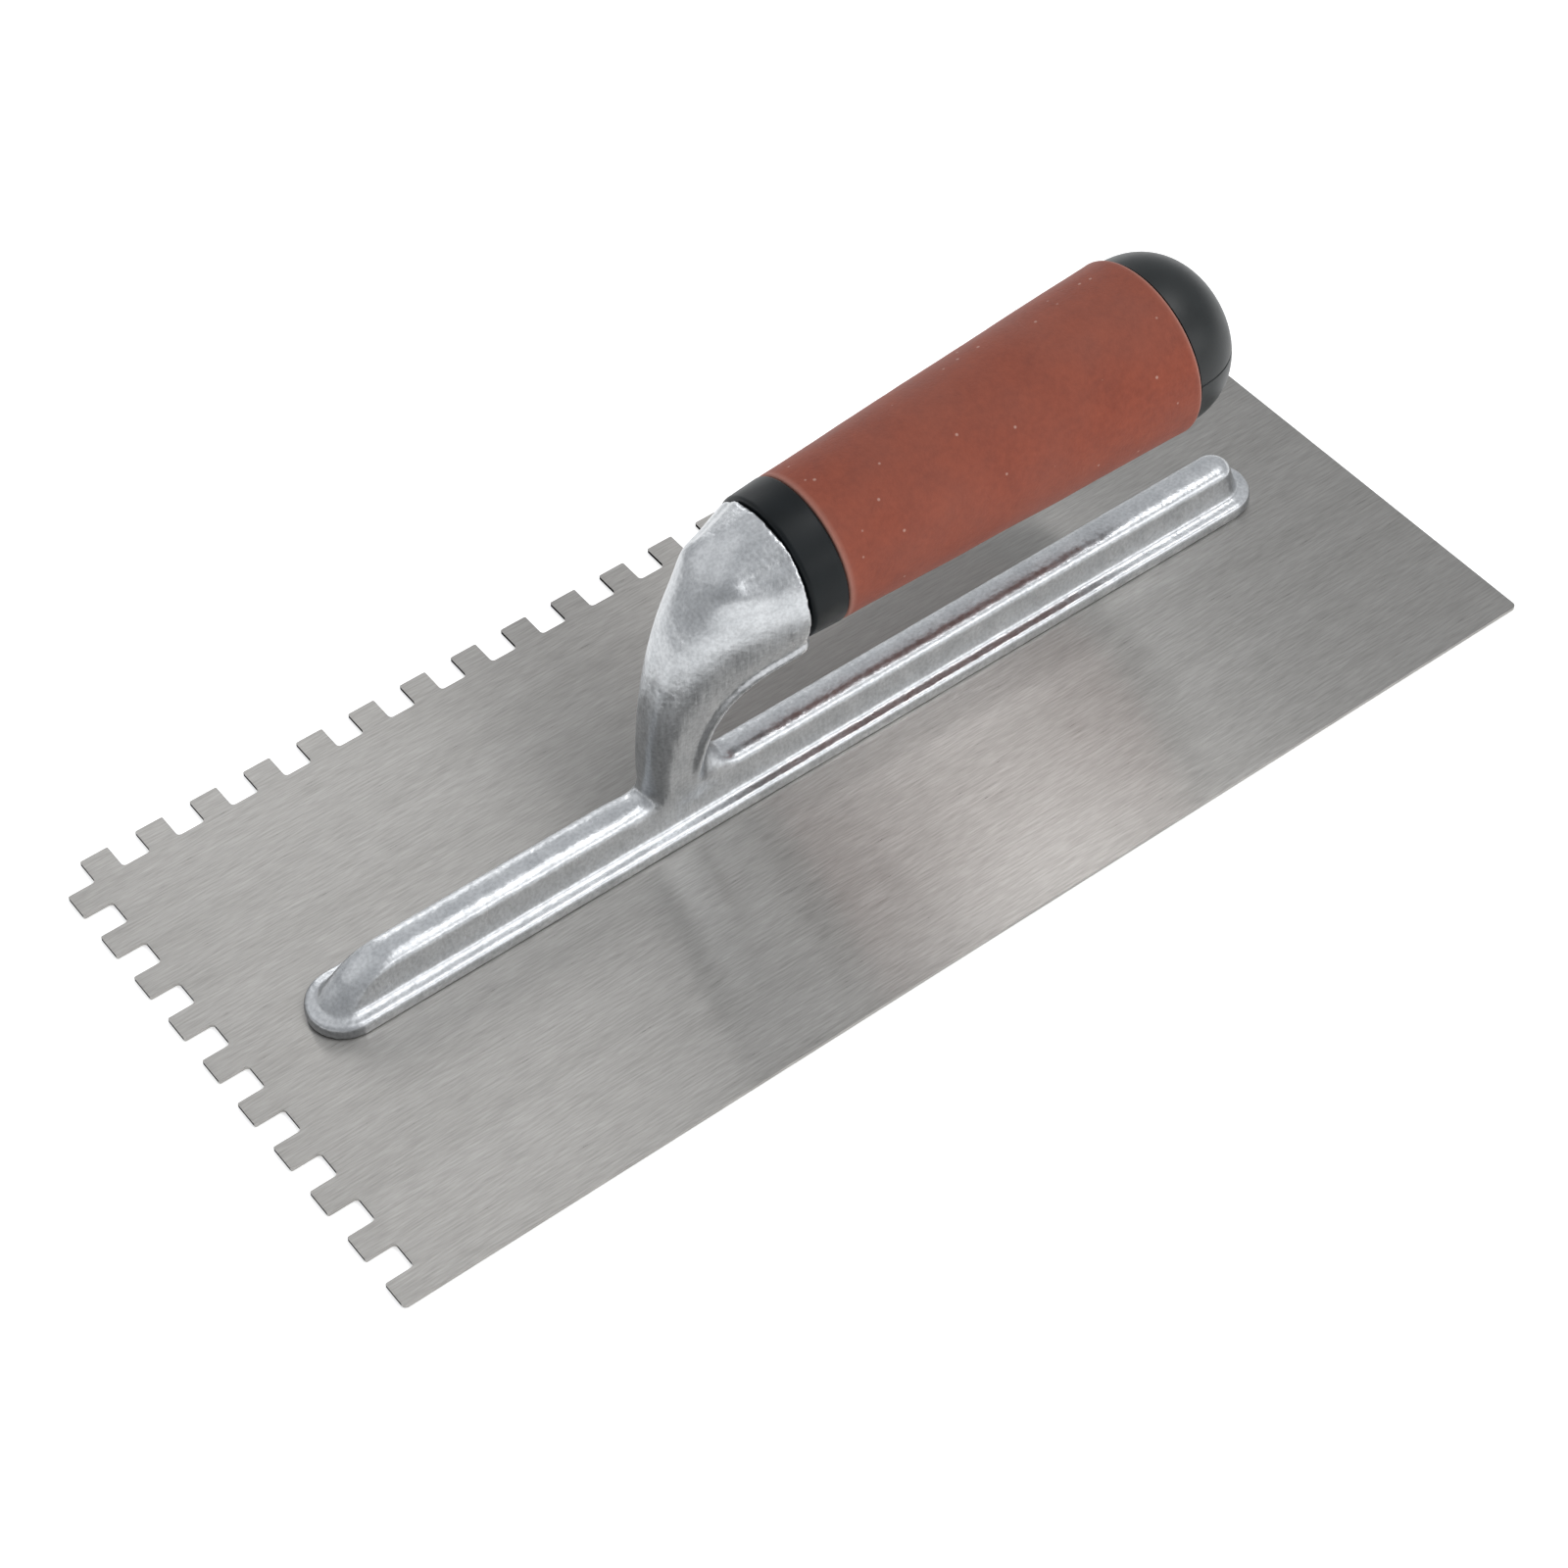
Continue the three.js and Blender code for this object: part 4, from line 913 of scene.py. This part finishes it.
TABLE_SIZE = 6
TABLE_GAP = 0.3 * MM
table_top = bmesh.new()
just_under = Matrix.Translation((0, 0, -TABLE_GAP))
bmesh.ops.create_grid(table_top, x_segments=1, y_segments=1, size=TABLE_SIZE, matrix=just_under)
floor = shape_object("floor", table_top)
white_table, tree = new_finish("matt_white_table")
matt = add(tree, "ShaderNodeBsdfPrincipled", {
    "Base Color": linear("#f6f6f5"), "Roughness": 0.9, "Emission Color": linear("#ffffff"),
    "Emission Strength": 0.45})
add(tree, "ShaderNodeOutputMaterial", {"Surface": matt})
floor.data.materials.append(white_table)

# Each panel faces the trowel from a height angle, measured up from the back edge's side, and leans to the
# right by an angle. Its width, length and radiance come after these.
PANEL_DISTANCE = 1.6
for name, height_angle, lean, width, length, radiance in (
    ("left_overhead_panel", 112, 11.3, 0.34, 1.5, 2.0),
    ("left_back_panel", 26, 11.3, 0.34, 0.75, 2.2),
    ("right_overhead_panel", 103, 26.3, 0.13, 0.65, 16),
    ("left_side_panel", 53, -27, 1.2, 1.0, 0.35),
    ("front_panel", 156, 23, 1.3, 0.55, 2.2),
):
    across = math.cos(math.radians(lean))
    towards = Vector((
        math.sin(math.radians(lean)),
        across * math.cos(math.radians(height_angle)),
        across * math.sin(math.radians(height_angle))))
    lamp = bpy.data.lights.new(name, "AREA")
    lamp.shape = "RECTANGLE"
    lamp.size = width
    lamp.size_y = length
    lamp.energy = radiance * math.pi * width * length
    light = bpy.data.objects.new(name, lamp)
    light.location = PANEL_DISTANCE * towards
    width_way = Vector((1, 0, 0)) - towards.x * towards
    width_way.normalize()
    facing = Matrix((width_way, towards.cross(width_way), towards)).transposed()
    light.rotation_euler = facing.to_euler()
    bpy.context.scene.collection.objects.link(light)

# The walls glow, brightest overhead and to the right
BRIGHT_WALL = (0.55, 0.25, 0.8)
studio = bpy.data.worlds.new("studio_walls")
studio.use_nodes = True
studio.node_tree.nodes.clear()
direction = add(studio.node_tree, "ShaderNodeTexCoord").outputs["Generated"]
facing_wall = add(studio.node_tree, "ShaderNodeVectorMath", {
    0: direction, 1: BRIGHT_WALL}, operation="DOT_PRODUCT").outputs["Value"]
glow = add(studio.node_tree, "ShaderNodeMapRange", {
    "Value": facing_wall, "From Min": -0.3, "From Max": 0.95, "To Min": 0.5, "To Max": 0.75})
walls = add(studio.node_tree, "ShaderNodeBackground", {"Color": linear("#f2f4f7"), "Strength": glow})
add(studio.node_tree, "ShaderNodeOutputWorld", {"Surface": walls})
bpy.context.scene.world = studio
bpy.context.scene.view_settings.view_transform = "Standard"

lens = bpy.data.cameras.new("product_lens")
lens.lens = 82.73
lens.sensor_width = 36
lens.clip_start = 0.01
camera = bpy.data.objects.new("product_lens", lens)
camera.location = (-0.28886, -0.39037, 0.55365)
camera.rotation_euler = [math.radians(a) for a in (40.557, 1.166, -37.343)]
bpy.context.scene.collection.objects.link(camera)
bpy.context.scene.camera = camera
